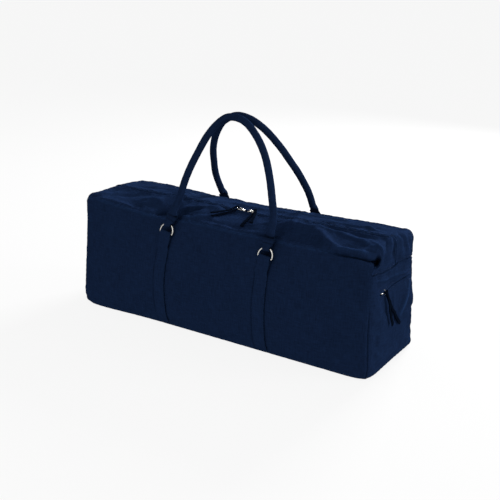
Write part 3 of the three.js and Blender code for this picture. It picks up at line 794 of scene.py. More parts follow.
# Creases pressed into single panels: line on the flat plan, rise and width in millimetres, and the paleness
# of one whose crest gets a stronger painted highlight than the rest.
creases = {
    "top_panel_front": [
        ([(268, -88), (300, -86), (334, -82)], 6.1, 7),
        ([(215, -72), (241, -86)], -6.1, 10),
        ([(270, -66), (310, -62)], -3.4, 12),
        ([(160, -20), (215, -14), (270, -16), (315, -22)], -4.1, 6),
        ([(190, -30), (245, -30), (300, -38), (330, -56)], 3.8, 6),
        ([(333, 2), (360, -23), (376, -30), (388, -48)], 2.7, 5),
        ([(322, -8), (350, -34), (366, -44), (384, -60)], -2.8, 5),
        ([(312, -30), (340, -52), (356, -58), (370, -70)], 2.8, 5),
        ([(352, -2), (376, -12), (392, -24)], -2.8, 5),
        ([(-300, -60), (-260, -34), (-240, -20)], -4.9, 10),
        ([(-230, -58), (-201, -40), (-177, -42)], 4.9, 7),
        ([(-215, -82), (-192, -74)], -6.1, 11),
        ([(-154, -86), (-143, -72)], -16.0, 8),
        ([(-128, -94), (-98, -92)], -7.0, 5),
        ([(98, -95), (118, -92), (136, -89)], -7.0, 5),
        ([(-92, -84), (-62, -90), (-42, -74), (-28, -56)], 5.4, 5),
        ([(-92, -72), (-74, -50), (-56, -34)], -6.8, 8),
        ([(-40, -84), (10, -80), (60, -84)], -3.0, 8),
        ([(92, -58), (84, -30)], -4.9, 9),
        ([(-342, -90), (-318, -66), (-306, -40)], 3.8, 6),
        ([(-330, -94), (-300, -80)], -4.1, 6),
    ],
    "top_panel_back": [
        ([(195, 14), (241, 26), (272, 36), (309, 28)], 5.4, 6),
        ([(170, 26), (230, 42), (290, 50)], -4.3, 8),
        ([(120, 60), (180, 64), (240, 72)], 3.5, 7),
        ([(349, 43), (377, 58), (390, 69)], 3.2, 6),
        ([(340, 14), (362, 26), (384, 30)], 3.2, 6),
        ([(346, 28), (370, 42), (386, 50)], -2.8, 5),
        ([(-238, 16), (-199, 37), (-144, 40)], 3.5, 7),
        ([(-300, 30), (-240, 52), (-180, 60)], -3.2, 8),
        ([(-60, 50), (20, 42), (110, 56)], 3.2, 9),
    ],
    "end_panel_right": [
        ([(-92, 192), (-10, 184), (60, 174)], 2.6, 4),
        ([(-88, 186), (-30, 178), (40, 166)], -2.4, 4),
        ([(67, 152), (48, 126), (24, 97)], 5.0, 6, 0.26),
        ([(88, 140), (80, 100), (84, 60)], 2.6, 9),
        ([(-77, 157), (-75, 165), (-77, 173)], 4.5, 5),
        ([(10, 13), (60, 17), (92, 12)], 2.4, 5),
        ([(30, 26), (76, 30)], -1.6, 5),
    ],
    "end_panel_left": [
        ([(-80, 190), (0, 180), (80, 188)], 2.6, 7),
        ([(-70, 150), (-20, 110), (10, 60)], 2.6, 9),
    ],
    "front_panel": [
        ([(-344, 225), (-330, 205), (-326, 170)], 1.4, 7),
        ([(90, 190), (70, 120), (76, 60)], 1.0, 20),
        ([(-180, 190), (-196, 120)], 1.0, 20),
    ],
    "back_panel": [
        ([(300, 200), (250, 150), (230, 90)], 2.0, 14),
        ([(-220, 190), (-250, 130)], 1.6, 14),
    ],
}


def flatPlan(name, sharp):
    x, y, z = sharp.T
    if name in longWalls:
        return np.stack([x, z], axis=1)
    if name == "bottom_panel":
        return np.stack([x, y], axis=1)
    if name.startswith("end_panel"):
        return np.stack([y, z], axis=1)
    return np.stack([x + np.sign(x) * (height - z) * (np.abs(x) > halfLength - onIt), y], axis=1)


# Distance to each seam of a panel, and the place along that seam.
def seamGaps(name, flat):
    u, v = flat.T
    if name in longWalls:
        return {"corner": (halfLength - np.abs(u), v), "base": (v, u), "topEdge": (height - v, u)}
    if name == "bottom_panel":
        return {"base": (np.minimum(halfLength - np.abs(u), halfDepth - np.abs(v)), u + v)}
    if name.startswith("end_panel"):
        gaps = {"corner": (halfDepth - np.abs(u), v), "base": (v, u), "turnDown": (endSeam - v, u)}
        if name.endswith("right"):
            beyond = np.maximum(np.abs(u) - bag["slitHalf"], 0)
            beside = np.maximum(np.abs(v - bag["pocketHeight"]) - bag["pocketGap"] / 2, 0)
            gaps["slit"] = (np.hypot(beyond, beside), u)
        return gaps
    return {"turnDown": (halfLength + bag["turnDown"] - np.abs(u), v), "topEdge": (halfDepth - np.abs(v), u),
            "zip": (np.abs(v) - bag["zipEdge"], u)}


# Shares from nought to one that the canvas reads: one paints the cloth pale, part real rubbed wear and part
# painted highlight; the other paints shade into it where it stays dark.
def giveShare(piece, name, amount):
    layer = piece.data.attributes.new(name, "FLOAT", "POINT")
    layer.data.foreach_set("value", np.clip(np.asarray(amount, np.float32), 0, 1))


def applyModifier(piece, kind, **settings):
    makeActive(piece)
    bpy.ops.object.modifier_add(type=kind)
    modifier = piece.modifiers[-1]
    for key, value in settings.items():
        setattr(modifier, key, value)
    bpy.ops.object.modifier_apply(modifier=modifier.name)


def vertexUv(piece):
    count = len(piece.data.loops)
    uv = np.zeros(count * 2)
    piece.data.uv_layers["UVMap"].data.foreach_get("uv", uv)
    corner = np.zeros(count, int)
    piece.data.loops.foreach_get("vertex_index", corner)
    flat = np.zeros((len(piece.data.vertices), 2))
    flat[corner] = uv.reshape(-1, 2)
    return flat


def finishPiece(piece, material, slot, *nodes):
    piece.data.materials.append(material)
    makeActive(piece)
    bpy.ops.object.shade_smooth()
    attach(piece, "root")
    if nodes:
        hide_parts(*nodes)
    return piece


# Straps, rings and handles share these; a strap's top and its ring are pulled a little to the right.
# Tilting and hanging: between these depths below the bar a strap takes up the tilt and leaves the wall.
strap = {"width": 0.027, "thickness": 0.0020, "foot": 0.009, "turnBack": 0.024, "stitchIn": 0.0028,
         "edgeIn": 0.0006, "grooveDepth": 0.00035, "grooveWidth": 0.0007, "besideGroove": 0.0008,
         "edgeLift": 0.0009, "offWall": 0.0005, "step": 0.004, "wear": 0.015, "leanFrom": 0.09,
         "lean": {"left": 0.009, "right": 0.004}, "tilting": (0.05, 0.008), "hanging": (0.045, 0.026)}
ring = {"wire": 0.0030, "corner": 0.0036, "bow": 0.0159, "tilt": 7.0, "lean": {"front": 20.4, "back": 8.4},
        "barHeight": {"front_left": 0.206, "front_right": 0.200, "back_left": 0.199, "back_right": 0.196}}
handle = {"radius": 0.0075, "lean": 20.4, "sides": 28, "stations": 110,
          "footStart": {"left": 0.30, "right": 0.50}, "flatPower": 7.0, "tubePower": 2.0,
          "uneven": 0.00018, "wave": 0.016, "joinRidge": 0.0005, "joinWidth": 0.0012,
          "bowFade": (0.040, 0.180), "standOff": 0.003, "standFade": (0.050, 0.085)}
faceSign = {"front": -1, "back": 1}
corners = [(face, end) for face in faceSign for end in ("left", "right")]
clearance = 0.0004
eyeRadius = ring["wire"] / 2 + 2 * clearance + strap["thickness"] / 2
innerLayer = strap["thickness"] / 2 + 4 * clearance
barOut = innerLayer + eyeRadius
# Painted shade on the wall behind a ring, and along the strap's left edge.
ringShade = {"dark": 0.85, "reach": 0.0085, "aspect": 1.5, "up": 0.007, "right": 0.001}
strapShade = {"dark": 0.5, "width": 0.0020, "out": 0.0012, "fade": (0.020, 0.005)}


def strapLean(end, bar, heights):
    return strap["lean"][end] * smoothStep(strap["leanFrom"], bar, heights)


# How far up a band of depths below a ring's bar, from nought to one.
def upToBar(bar, band, heights):
    return smoothStep(bar - band[0], bar - band[1], heights)


def wallShade(name, flat):
    across, up = flat.T
    dark = np.zeros(len(flat))
    for end in ("left", "right"):
        bar = ring["barHeight"][name.replace("panel", end)]
        beside = across - seat[end] - strap["lean"][end] - ringShade["right"]
        gap = np.hypot(beside / ringShade["aspect"], up - bar - ringShade["up"])
        dark = np.maximum(dark, ringShade["dark"] * bell(gap, ringShade["reach"]))
        leftEdge = seat[end] + strapLean(end, bar, up) - strap["width"] / 2 - strapShade["out"]
        onStrap = 1 - upToBar(bar, strapShade["fade"], up)
        dark = np.maximum(dark, strapShade["dark"] * onStrap * bell(across - leftEdge, strapShade["width"]))
    return dark


# How far a panel's cloth stands off its smooth shape: seams, puckers beside them, creases and soft swells;
# also how pale it is painted (part wear, part painted highlight) and where painted shade darkens it.
def panelRelief(name, flat, seed):
    lift, wear, hollow = np.zeros((3, len(flat)))
    nearest = np.full(len(flat), np.inf)
    for kind, (gap, place) in seamGaps(name, flat).items():
        spec = seams[kind]
        gap = np.maximum(gap, 0)
        nearest = np.minimum(nearest, gap)
        depth = spec["rise"] * bell(gap, spec["width"])
        # painted shade along the seam's hollow
        dark = spec["hollow"] * bell(gap, shade["width"])
        if kind == "corner":
            sewnIn = 1 - smoothStep(*shade["pulled"], place)
            depth = depth * sewnIn
            dark = dark * sewnIn
        if kind == "topEdge" and "front" in name:
            inCrevice = smoothStep(*crevice["start"], place) * (1 - smoothStep(*crevice["end"], place))
            drawnIn = inCrevice * bell(gap, crevice["width"])
            depth = depth * (1 - inCrevice) - crevice["depth"] * drawnIn
            # painted shade in the crevice
            dark = crevice["hollow"] * drawnIn
        hollow = np.maximum(hollow, dark)
        seed += 7
        ripple = swells(place, gap * pucker["slant"], pucker["wave"], seed)
        gathered = np.exp(-gap / pucker["reach"]) * smoothStep(0, pucker["clear"], gap)
        lift += depth + spec["pucker"] * ripple * gathered
        if kind in topStitch["seams"]:
            lift -= topStitch["depth"] * bell(gap - topStitch["in"], topStitch["width"])
        # pale line beside the seam, part real wear and part painted highlight
        patchy = rubAndHighlight["even"] + (1 - rubAndHighlight["even"]) * ripple
        wear = np.maximum(wear, spec["wear"] * rubAndHighlight["share"] * bell(gap - rubAndHighlight["in"], rubAndHighlight["width"]) * patchy)
    for line, rise, width, *pale in creases.get(name, []):
        line, rise, width = np.array(line) / 1000, rise / 1000, width / 1000
        gap = lineDistance(flat, line)
        toEnd = np.min([np.linalg.norm(flat - end, axis=1) for end in (line[0], line[-1])], axis=0)
        taper = fold["least"] + (1 - fold["least"]) * smoothStep(0, fold["taper"], toEnd)
        taper = taper * smoothStep(0, pucker["clear"], nearest)  # both cloths of a seam stay together
        lift += rise * bell(gap, width) * taper
        # painted shade along a deep crease's hollow
        if rise < -fold["deep"]:
            dark = min(fold["darkest"], -fold["dark"] * rise)
            hollow = np.maximum(hollow, dark * bell(gap, fold["darkWidth"] * width) * taper)
        # pale crest on a narrow raised crease: painted highlight with some rubbed wear
        if rise > 0 and width < fold["sharp"]:
            rubbedAndLit = pale[0] if pale else fold["pale"] * rise
            wear = np.maximum(wear, rubbedAndLit * bell(gap, fold["paleWidth"] * width) * taper)
    soft = swells(flat[:, 0], flat[:, 1], softSwell["wave"], seed + 80)
    lift += softSwell["rise"] * soft * smoothStep(0, softSwell["clear"], nearest)
    if name == "bottom_panel":
        lift = -np.abs(lift)
    # painted shade behind the rings and beside the straps
    if name in longWalls:
        hollow = np.maximum(hollow, wallShade(name, flat))
    return lift, wear, hollow


# The sliders part the lips over the zip and lift them.
def partLips(name, flat, points):
    if name.startswith("top_panel"):
        axis = 1
        across = flat[:, 1]
        gap = np.abs(across) - bag["zipEdge"]
        apart = np.min([np.abs(flat[:, 0] - x) for x in sliderSpots["main"]], axis=0)
        opening = lips["main"]
    elif name == "end_panel_right":
        axis = 2
        across = flat[:, 1] - bag["pocketHeight"]
        gap = np.abs(across)
        apart = np.abs(flat[:, 0] - sliderSpots["pocket"])
        opening = lips["pocket"]
    else:
        return 0.0
    share = (1 - smoothStep(lips["full"], lips["shut"], apart)) * np.exp(-np.maximum(gap, 0) / lips["reach"])
    points[:, axis] += np.sign(across) * opening * share
    return lips["rise"] * share


def panelPiece(name, spec):
    ids, local = np.unique(quads[quadPanels == name], return_inverse=True)
    piece = meshPiece(name + "_cloth", cloth[ids], local.reshape(-1, 4))
    giveUv(piece, flatPlan(name, sharpPoints[ids])[local.ravel()])
    piece.data.attributes.new("facing", "FLOAT_VECTOR", "POINT")
    piece.data.attributes["facing"].data.foreach_set("vector", facings[ids].ravel())
    applyModifier(piece, "SUBSURF", levels=spec["levels"], render_levels=spec["levels"])
    facing = np.zeros(len(piece.data.vertices) * 3)
    piece.data.attributes["facing"].data.foreach_get("vector", facing)
    flat = vertexUv(piece)
    lift, wear, hollow = panelRelief(name, flat, spec["seed"])
    points = meshPoints(piece)
    lift += partLips(name, flat, points)
    points += lift[:, None] * facing.reshape(-1, 3)
    points[:, 2] = np.maximum(points[:, 2], 0.0)
    piece.data.vertices.foreach_set("co", points.ravel())
    piece.data.update()
    # painted paleness (wear and highlight) and painted shade for the canvas
    giveShare(piece, "wear", wear)
    giveShare(piece, "hollow", hollow)
    applyModifier(piece, "SOLIDIFY", thickness=bag["wall"], offset=-1.0)
    finishPiece(piece, canvas, "canvas", name)
    return piece


panelPieces = {panelName: panelPiece(panelName, panelSpec) for panelName, panelSpec in panels.items()}
print("panels sewn")


def faceOutward(piece):
    editAll(piece)
    bpy.ops.mesh.normals_make_consistent(inside=False)
    setMode("OBJECT")


# Loops of points joined into a closed tube or band, with UV in metres round and along it.
def loft(name, loops):
    loops = np.asarray(loops, float)
    count, around = loops.shape[:2]
    closed = np.concatenate([loops, loops[:, :1]], axis=1)
    u = np.concatenate([[0], np.cumsum(np.linalg.norm(np.diff(closed, axis=1), axis=2).mean(axis=0))])
    v = walked(loops.mean(axis=1))
    faces = []
    uvs = []
    for i in range(count - 1):
        for k in range(around):
            m = (k + 1) % around
            faces.append((i * around + k, i * around + m, (i + 1) * around + m, (i + 1) * around + k))
            uvs += [(u[k], v[i]), (u[k + 1], v[i]), (u[k + 1], v[i + 1]), (u[k], v[i + 1])]
    faces.append(tuple(range(around))[::-1])
    faces.append(tuple((count - 1) * around + k for k in range(around)))
    uvs += [(u[k], 0.0) for k in range(around)][::-1]
    uvs += [(u[k], v[-1]) for k in range(around)]
    piece = meshPiece(name, loops.reshape(-1, 3), faces)
    giveUv(piece, uvs)
    faceOutward(piece)
    return piece


# One loop for a loft: an exponent of one gives an ellipse, a smaller one a flat band with rounded edges.
def roundedLoop(center, across, facing, halfWidth, halfThick, exponent, angles):
    a = np.sign(np.cos(angles)) * np.abs(np.cos(angles)) ** exponent
    b = np.sign(np.sin(angles)) * np.abs(np.sin(angles)) ** exponent
    return center + (a * halfWidth)[:, None] * across + (b * halfThick)[:, None] * facing


def loopAngles(count):
    return (np.arange(count) + 0.5) / count * 2 * np.pi


# Smooth run through values given at stations, several steps to each span.
def smoothRun(values, stepsEach):
    values = np.asarray(values, float)
    padded = np.concatenate([values[:1], values, values[-1:]])
    out = []
    for i in range(len(values) - 1):
        a, b, c, d = padded[i:i + 4]
        for t in np.arange(stepsEach) / stepsEach:
            out.append(0.5 * (2 * b + (c - a) * t + (2 * a - 5 * b + 4 * c - d) * t ** 2
                              + (3 * b - a - 3 * c + d) * t ** 3))
    out.append(values[-1])
    return np.array(out)


# Rows to be stitched: the piece that each lies on, and the points along it.
stitchRows = []


# A place off a long wall, clear of the wall all across a strap's width.
def offWall(face, x, level, out):
    side = faceSign[face]
    reach = 0.003
    across = np.linspace(-0.5, 0.5, 5) * strap["width"]
    wall = onCloth([[x + c, side * halfDepth, level] for c in across])
    above, below = onCloth([[x, side * halfDepth, level + reach], [x, side * halfDepth, level - reach]])
    slope = above - below
    normal = unit(np.array([0.0, side * slope[2], -side * slope[1]]))
    proud = ((wall - wall[2]) @ normal).max()
    return wall[2] + (out + proud) * normal


# A ring bar's middle, behind which its strap's eye lies on the wall.
def barSpot(face, end):
    return offWall(face, seat[end] + strap["lean"][end], ring["barHeight"][face + "_" + end], barOut)


# Directions up a plane that leans in over the bag by some degrees, and out of it.
def leaning(face, degrees):
    side = faceSign[face]
    angle = math.radians(degrees)
    rise = np.array([0, -side * math.sin(angle), math.cos(angle)])
    out = np.array([0, side * math.cos(angle), math.sin(angle)])
    return rise, out


# Straps: folded canvas up each long side, round the ring's bar and back down behind itself.
# A run is heights on the wall and how far off it the strap's middle lies.
def strapRun(bar):
    layer = strap["thickness"] / 2 + strap["offWall"]
    stackTop = bar - strap["turnBack"]
    outer = innerLayer + strap["thickness"] + clearance
    run = [(z, layer) for z in np.arange(strap["foot"], stackTop - 0.010, strap["step"])]
    run += [(stackTop - 0.007, layer + 0.0008), (stackTop - 0.001, outer), (bar - 0.010, outer)]
    for turn in np.radians(np.linspace(-20, 180, 13)):
        run.append((bar + eyeRadius * math.sin(turn), barOut + eyeRadius * math.cos(turn)))
    run += [(bar - 0.008, innerLayer), (stackTop + 0.004, innerLayer)]
    return np.array(run)


# Points round a strap's section, with a groove along each row of stitches.
def strapSection():
    half = strap["width"] / 2
    thick = strap["thickness"] / 2
    stitchAt = half - strap["stitchIn"]
    beside = strap["besideGroove"]
    columns = [strap["edgeIn"] - half, -stitchAt - beside, -stitchAt, beside - stitchAt, -0.006, -0.002]
    columns = np.array(columns + [-c for c in columns[::-1]])
    groove = strap["grooveDepth"] * bell(np.abs(columns) - stitchAt, strap["grooveWidth"])
    section = [(c, thick - g) for c, g in zip(columns, groove)] + [(half, thick / 2), (half, -thick / 2)]
    section += [(c, -thick) for c in columns[::-1]] + [(-half, -thick / 2), (-half, thick / 2)]
    return section, len(columns)


def strapPiece(name, face, end):
    bar = ring["barHeight"][face + "_" + end]
    run = strapRun(bar)
    heights, outs = run.T
    tilted = math.tan(math.radians(ring["tilt"])) * upToBar(bar, strap["tilting"], heights)
    middles = seat[end] + strapLean(end, bar, heights) + tilted * (heights - bar)
    centers = np.array([offWall(face, x, h, o) for x, h, o in zip(middles, heights, outs)])
    rise = leaning(face, ring["lean"][face])[0]
    facing = unit(np.cross(unit(np.gradient(centers, axis=0)), [-faceSign[face], 0, 0]))
    top = int(np.argmax(heights))
    lying = 1 - upToBar(bar, strap["hanging"], heights)  # lower down it follows the settled wall
    lying[top:] = 0
    section, columnCount = strapSection()
    loops = []
    for i in range(len(run)):
        loop = []
        for c, t in section:
            hung = centers[i] + np.array([c, 0, 0]) + t * facing[i] - c * tilted[i] * rise
            lift = outs[i] + t + strap["edgeLift"] * (2 * max(c, 0) / strap["width"]) ** 3
            lies = offSide(face, middles[i] + c, heights[i], lift)
            loop.append(lying[i] * lies + (1 - lying[i]) * hung)
        loops.append(loop)
    piece = loft(name + "_cloth", loops)
    outer = np.array(loops)[:top]
    for column in (2, columnCount - 3):
        stitchRows.append((piece, outer[1:, column]))
    for i in (top - 8, top - 6):
        stitchRows.append((piece, outer[i, 2:columnCount - 2]))
    # the whole strap a touch paler
    giveShare(piece, "wear", np.full(len(piece.data.vertices), strap["wear"]))
    finishPiece(piece, canvas, "canvas", name)


for face, end in corners:
    strapPiece("strap_" + face + "_" + end, face, end)
print("straps laid")


# D-rings: a circle flattened to a bar along one side, its corners rounded, then given its wire.
def wireOfPath(piece, wire):
    makeActive(piece)
    bpy.ops.object.convert(target="CURVE")
    piece = bpy.context.object
    piece.data.bevel_depth = wire / 2
    piece.data.bevel_resolution = 4
    piece.data.use_fill_caps = False
    bpy.ops.object.convert(target="MESH")
    piece = bpy.context.object
    editAll(piece)
    bpy.ops.mesh.remove_doubles(threshold=onIt)
    faceOutward(piece)
    return piece


def selectWhere(piece, test):
    setMode("EDIT")
    bpy.ops.mesh.select_mode(type="VERT")
    bpy.ops.mesh.select_all(action="DESELECT")
    setMode("OBJECT")
    for vertex in piece.data.vertices:
        vertex.select = bool(test(vertex.co))
    setMode("EDIT")


def mergeAll(distance):
    bpy.ops.mesh.select_all(action="SELECT")
    bpy.ops.mesh.remove_doubles(threshold=distance)


def modelRing():
    deselectAll()
    bpy.ops.mesh.primitive_circle_add(vertices=72, radius=ring["bow"], location=(0, 0, 0))
    piece = bpy.context.object
    selectWhere(piece, lambda p: p.y < -0.0005)
    bpy.ops.transform.resize(value=(1, 0, 1), center_override=(0, -ring["corner"], 0))
    mergeAll(0.0006)
    selectWhere(piece, lambda p: p.y < -ring["corner"] * 0.9 and abs(p.x) > ring["bow"] * 0.985)
    bpy.ops.mesh.bevel(offset=ring["corner"], segments=6, affect="VERTICES")
    mergeAll(0.0002)
    bpy.ops.transform.translate(value=(0, ring["corner"], 0))
    setMode("OBJECT")
    return wireOfPath(piece, ring["wire"])


def copyPlaced(pattern, name, place):
    piece = pattern.copy()
    piece.data = pattern.data.copy()
    piece.name = name
    scene.collection.objects.link(piece)
    makeActive(piece)
    piece.matrix_world = place
    bpy.ops.object.transform_apply(location=True, rotation=True, scale=True)
    return piece


def placeRings():
    pattern = modelRing()
    tilt = math.radians(ring["tilt"])
    level = np.array([1.0, 0, 0])
    for face, end in corners:
        rise, out = leaning(face, ring["lean"][face])
        upward = math.cos(tilt) * rise + math.sin(tilt) * level
        place = Matrix(np.stack([np.cross(upward, out), upward, out], axis=1).tolist()).to_4x4()
        place.translation = Vector(barSpot(face, end))
        name = "d_ring_" + face + "_" + end
        finishPiece(copyPlaced(pattern, name + "_metal", place), nickel, "nickel", name)
    bpy.data.objects.remove(pattern)


placeRings()
print("rings set")

# Handles: a canvas tube round a cord core, flat at the ends where it loops through the rings.
# Arches in millimetres: along the bag, and up the handle's plane from the right ring's bar.
arches = {
    "front": [(-102, 54), (-96, 85), (-90, 126), (-78, 167), (-56, 220), (-28, 253), (-3, 259), (24, 252),
              (51, 232), (79, 199), (101, 157), (119, 109), (129, 78), (131, 51)],
    "back": [(-113, 58), (-117, 100), (-107, 141), (-87, 199), (-58, 241), (-29, 259), (-7, 263), (20, 256),
             (50, 233), (80, 193), (99, 154), (109, 114), (116, 85), (119, 58)],
}
flap = {"width": 0.027, "ringWidth": 0.015, "thickness": 0.0022, "top": 0.038, "loopDrop": 0.0048,
        "tops": {"front": (-0.105, 0.128), "back": (-0.104, 0.128)}, "stitchedRows": (1, 5, -2, -6),
        "ahead": 0.0006}
# painted shade on the handles: on the flaps' stitched rows, under the tube's ends, and a touch along the
# whole tube
foldShade = {"stitched": 0.45, "under": 0.5, "tube": 0.10}


# Where the rings stand steeper than the handle leans, its legs bow out over the bag's edge.
def bowOut(face, up):
    steeper = math.tan(math.radians(handle["lean"] - ring["lean"][face]))
    bow = steeper * up * (1 - smoothStep(*handle["bowFade"], up))
    return bow + handle["standOff"] * (1 - smoothStep(*handle["standFade"], up))


# Stations of one flat end: place in the handle's plane, half width, half thickness and squareness.
def flapStations(face, end, flapX):
    bar = barSpot(face, end)
    ringRise, ringOut = leaning(face, ring["lean"][face])
    rise, out = leaning(face, handle["lean"])
    half = flap["thickness"] / 2
    loopRadius = ring["wire"] / 2 + clearance + half
    bowTop = ring["corner"] + ring["bow"] + ring["wire"] / 2
    loopUp = bowTop - flap["loopDrop"]
    layer = half + clearance / 2
    legs = [(flap["top"], layer), (bowTop + 0.005, layer), (bowTop, loopRadius)]
    turns = np.radians(np.linspace(0, -180, 9))
    spots = legs + [(loopUp + loopRadius * math.sin(turn), loopRadius * math.cos(turn)) for turn in turns]
    spots += [(up, -away) for up, away in legs[::-1]]
    rows = []
    for up, away in spots:
        share = float(smoothStep(loopUp - loopRadius, flap["top"], up))
        width = flap["ringWidth"] + (flap["width"] - flap["ringWidth"]) * share
        spot = bar + up * ringRise + away * ringOut - barSpot(face, "right")
        x = bar[0] + (flapX - bar[0]) * share
        rows.append((x, spot @ rise, spot @ out, width / 2, half, handle["flatPower"]))
    return smoothRun(rows, 6)


# Stations from a flat end to the tube: its width, thickness and squareness each change at their own pace.
def footStations(face, flatRow, tubeSpot, start):
    r = handle["radius"]
    rows = []
    for step, plump in ((0.0, 0.0), (0.06, 0.5), (0.12, 0.85), (0.25, 1.0)):
        share = start + step
        x = flatRow[0] + (tubeSpot[0] - flatRow[0]) * share
        up = flatRow[1] + (tubeSpot[1] - flatRow[1]) * share
        away = flatRow[2] + (bowOut(face, tubeSpot[1]) - flatRow[2]) * max(share, plump)
        width = flatRow[3] + (r - flatRow[3]) * min(1.0, share * 1.2)
        thick = flatRow[4] + (r - flatRow[4]) * plump
        rows.append((x, up, away, width, thick, flatRow[5] + (handle["tubePower"] - flatRow[5]) * plump))
    return rows


def handleStations(face):
    r = handle["radius"]
    spots = smoothRun(np.array(arches[face]) / 1000, 8)
    walk = walked(spots)
    even = np.linspace(0, walk[-1], handle["stations"])
    tube = np.stack([np.interp(even, walk, spots[:, i]) for i in (0, 1)], axis=1)
    left = flapStations(face, "left", flap["tops"][face][0])
    right = flapStations(face, "right", flap["tops"][face][1])[::-1]
    rows = list(left) + footStations(face, left[-1], tube[0], handle["footStart"]["left"])
    rows += [(x, up, bowOut(face, up), r, r, handle["tubePower"]) for x, up in tube]
    rows += footStations(face, right[0], tube[-1], handle["footStart"]["right"])[::-1] + list(right)
    return np.array(rows)


def handlePiece(name, face, seed):
    rows = handleStations(face)
    rise, out = leaning(face, handle["lean"])
    centers = barSpot(face, "right") + rows[:, 1:2] * rise + rows[:, 2:3] * out
    centers[:, 0] = rows[:, 0]
    tangents = unit(np.gradient(centers, axis=0))
    walk = walked(centers)
    angles = loopAngles(handle["sides"])
    girth = angles * handle["radius"]
    joinLine = bell((angles - 1.5 * np.pi) * handle["radius"], handle["joinWidth"])
    loops = []
    lastFacing = None
    for center, tangent, place, row in zip(centers, tangents, walk, rows):
        _, _, _, halfWidth, halfThick, power = row
        facing = np.cross(tangent, [1.0, 0, 0])
        if power < 4:
            facing = out - tangent * (out @ tangent)
        if np.linalg.norm(facing) < onIt:
            facing = lastFacing
        facing = unit(facing)
        if lastFacing is not None and facing @ lastFacing < 0:
            facing = -facing
        lastFacing = facing
        across = np.cross(facing, tangent)
        stretch = 1.0
        if power < 2.5:
            uneven = handle["uneven"] * swells(np.full_like(girth, place), girth, handle["wave"], seed)
            stretch = 1 + (uneven + handle["joinRidge"] * joinLine) / handle["radius"]
        halves = (halfWidth * stretch, halfThick * stretch)
        loops.append(roundedLoop(center, across, facing, *halves, 2 / power, angles))
    piece = loft(name + "_cloth", loops)
    # painted shade along the handle, row by row
    hollow = np.full(len(rows), foldShade["tube"])
    for i in flap["stitchedRows"]:
        ahead = [point for point in loops[i] if (point - centers[i]) @ out > flap["ahead"]]
        stitchRows.append((piece, sorted(ahead, key=lambda point: point[0])))
        hollow[i] = foldShade["stitched"]
    tubeRows = np.flatnonzero(rows[:, 5] < handle["flatPower"] - 0.1)
    for first in (tubeRows[0] - 2, tubeRows[-1]):  # under the tube's ends
        hollow[first:first + 3] = foldShade["under"]
    giveShare(piece, "hollow", np.repeat(hollow, handle["sides"]))
    finishPiece(piece, canvas, "canvas", name)


handlePiece("handle_front", "front", 31)
handlePiece("handle_back", "back", 32)
print("handles looped")

# Zips: woven tape under the opening, moulded teeth in it, one tooth modelled and repeated.
zipper = {"tapeDepth": 0.0046, "tapeThick": 0.0008, "toothDepth": 0.0032, "toothPitch": 0.0021,
          "tooth": (0.0034, 0.0013, 0.0016), "toothShift": 0.0006, "endClear": 0.002}
zips = [
    {"name": "zip", "place": onTopStrip, "middle": 0.0, "tapeHalf": 0.3925, "teethHalf": 0.3925,
     "width": 0.032, "grid": (260, 11)},
    {"name": "pocket", "place": onPocketEnd, "middle": bag["pocketHeight"],
     "tapeHalf": bag["slitHalf"] + 0.006, "teethHalf": bag["slitHalf"], "width": 0.022, "grid": (60, 9)},
]


def zipTape(spec):
    along = np.linspace(-spec["tapeHalf"], spec["tapeHalf"], spec["grid"][0])
    across = spec["middle"] + np.linspace(-spec["width"] / 2, spec["width"] / 2, spec["grid"][1])
    flat = np.stack(np.meshgrid(along, across, indexing="ij"), axis=-1)
    points, _ = spec["place"](flat[..., 0], flat[..., 1], -zipper["tapeDepth"])
    faces = gridQuads(np.arange(points.size // 3).reshape(spec["grid"]))
    tape = meshPiece(spec["name"] + "_tape_woven", points.reshape(-1, 3), faces)
    giveUv(tape, flat.reshape(-1, 2)[faces.ravel()])
    applyModifier(tape, "SOLIDIFY", thickness=zipper["tapeThick"], offset=-1.0)
    finishPiece(tape, zipTapeCloth, "zip_tape", spec["name"] + "_tape")


def modelTooth():
    deselectAll()
    bpy.ops.mesh.primitive_cube_add(size=1)
    piece = bpy.context.object
    piece.scale = zipper["tooth"]
    bpy.ops.object.transform_apply(location=False, rotation=False, scale=True)
    editAll(piece)
    bpy.ops.mesh.bevel(offset=0.0004, segments=1)
    setMode("OBJECT")
    return piece


# Copies of a small pattern at many places, as one mesh; a place is a point and three directions.
def scatter(name, pattern, spots, frames):
    points = meshPoints(pattern)
    faces = [tuple(f.vertices) for f in pattern.data.polygons]
    allPoints = np.einsum("ni,mij->mnj", points, np.asarray(frames)) + np.asarray(spots)[:, None, :]
    allFaces = []
    for m in range(len(spots)):
        allFaces += [tuple(i + m * len(points) for i in f) for f in faces]
    return meshPiece(name, allPoints.reshape(-1, 3), allFaces)


def zipTeeth(spec, tooth):
    reach = 0.002
    end = spec["teethHalf"] - zipper["endClear"]
    along = np.arange(-end, end, zipper["toothPitch"])
    across = spec["middle"] + np.where(np.arange(len(along)) % 2 == 0, 1, -1) * zipper["toothShift"]
    spots, normals = spec["place"](along, across, -zipper["toothDepth"])
    heading = unit(spec["place"](along + reach, across)[0] - spec["place"](along - reach, across)[0])
    frames = np.stack([np.cross(normals, heading), heading, normals], axis=1)
    teeth = scatter(spec["name"] + "_teeth", tooth, spots, frames)
    finishPiece(teeth, nylon, "zip_chain", spec["name"] + "_chain")


for zipSpec in zips:
    zipTape(zipSpec)
toothPattern = modelTooth()
for zipSpec in zips:
    zipTeeth(zipSpec, toothPattern)
bpy.data.objects.remove(toothPattern)
print("zips closed")

# Stitching: one short bead of thread, repeated along the rows and pressed into the cloth below it.
stitch = {"length": 0.0028, "pitch": 0.0037, "thick": 0.0007, "heavy": 0.0012, "proud": 0.15}


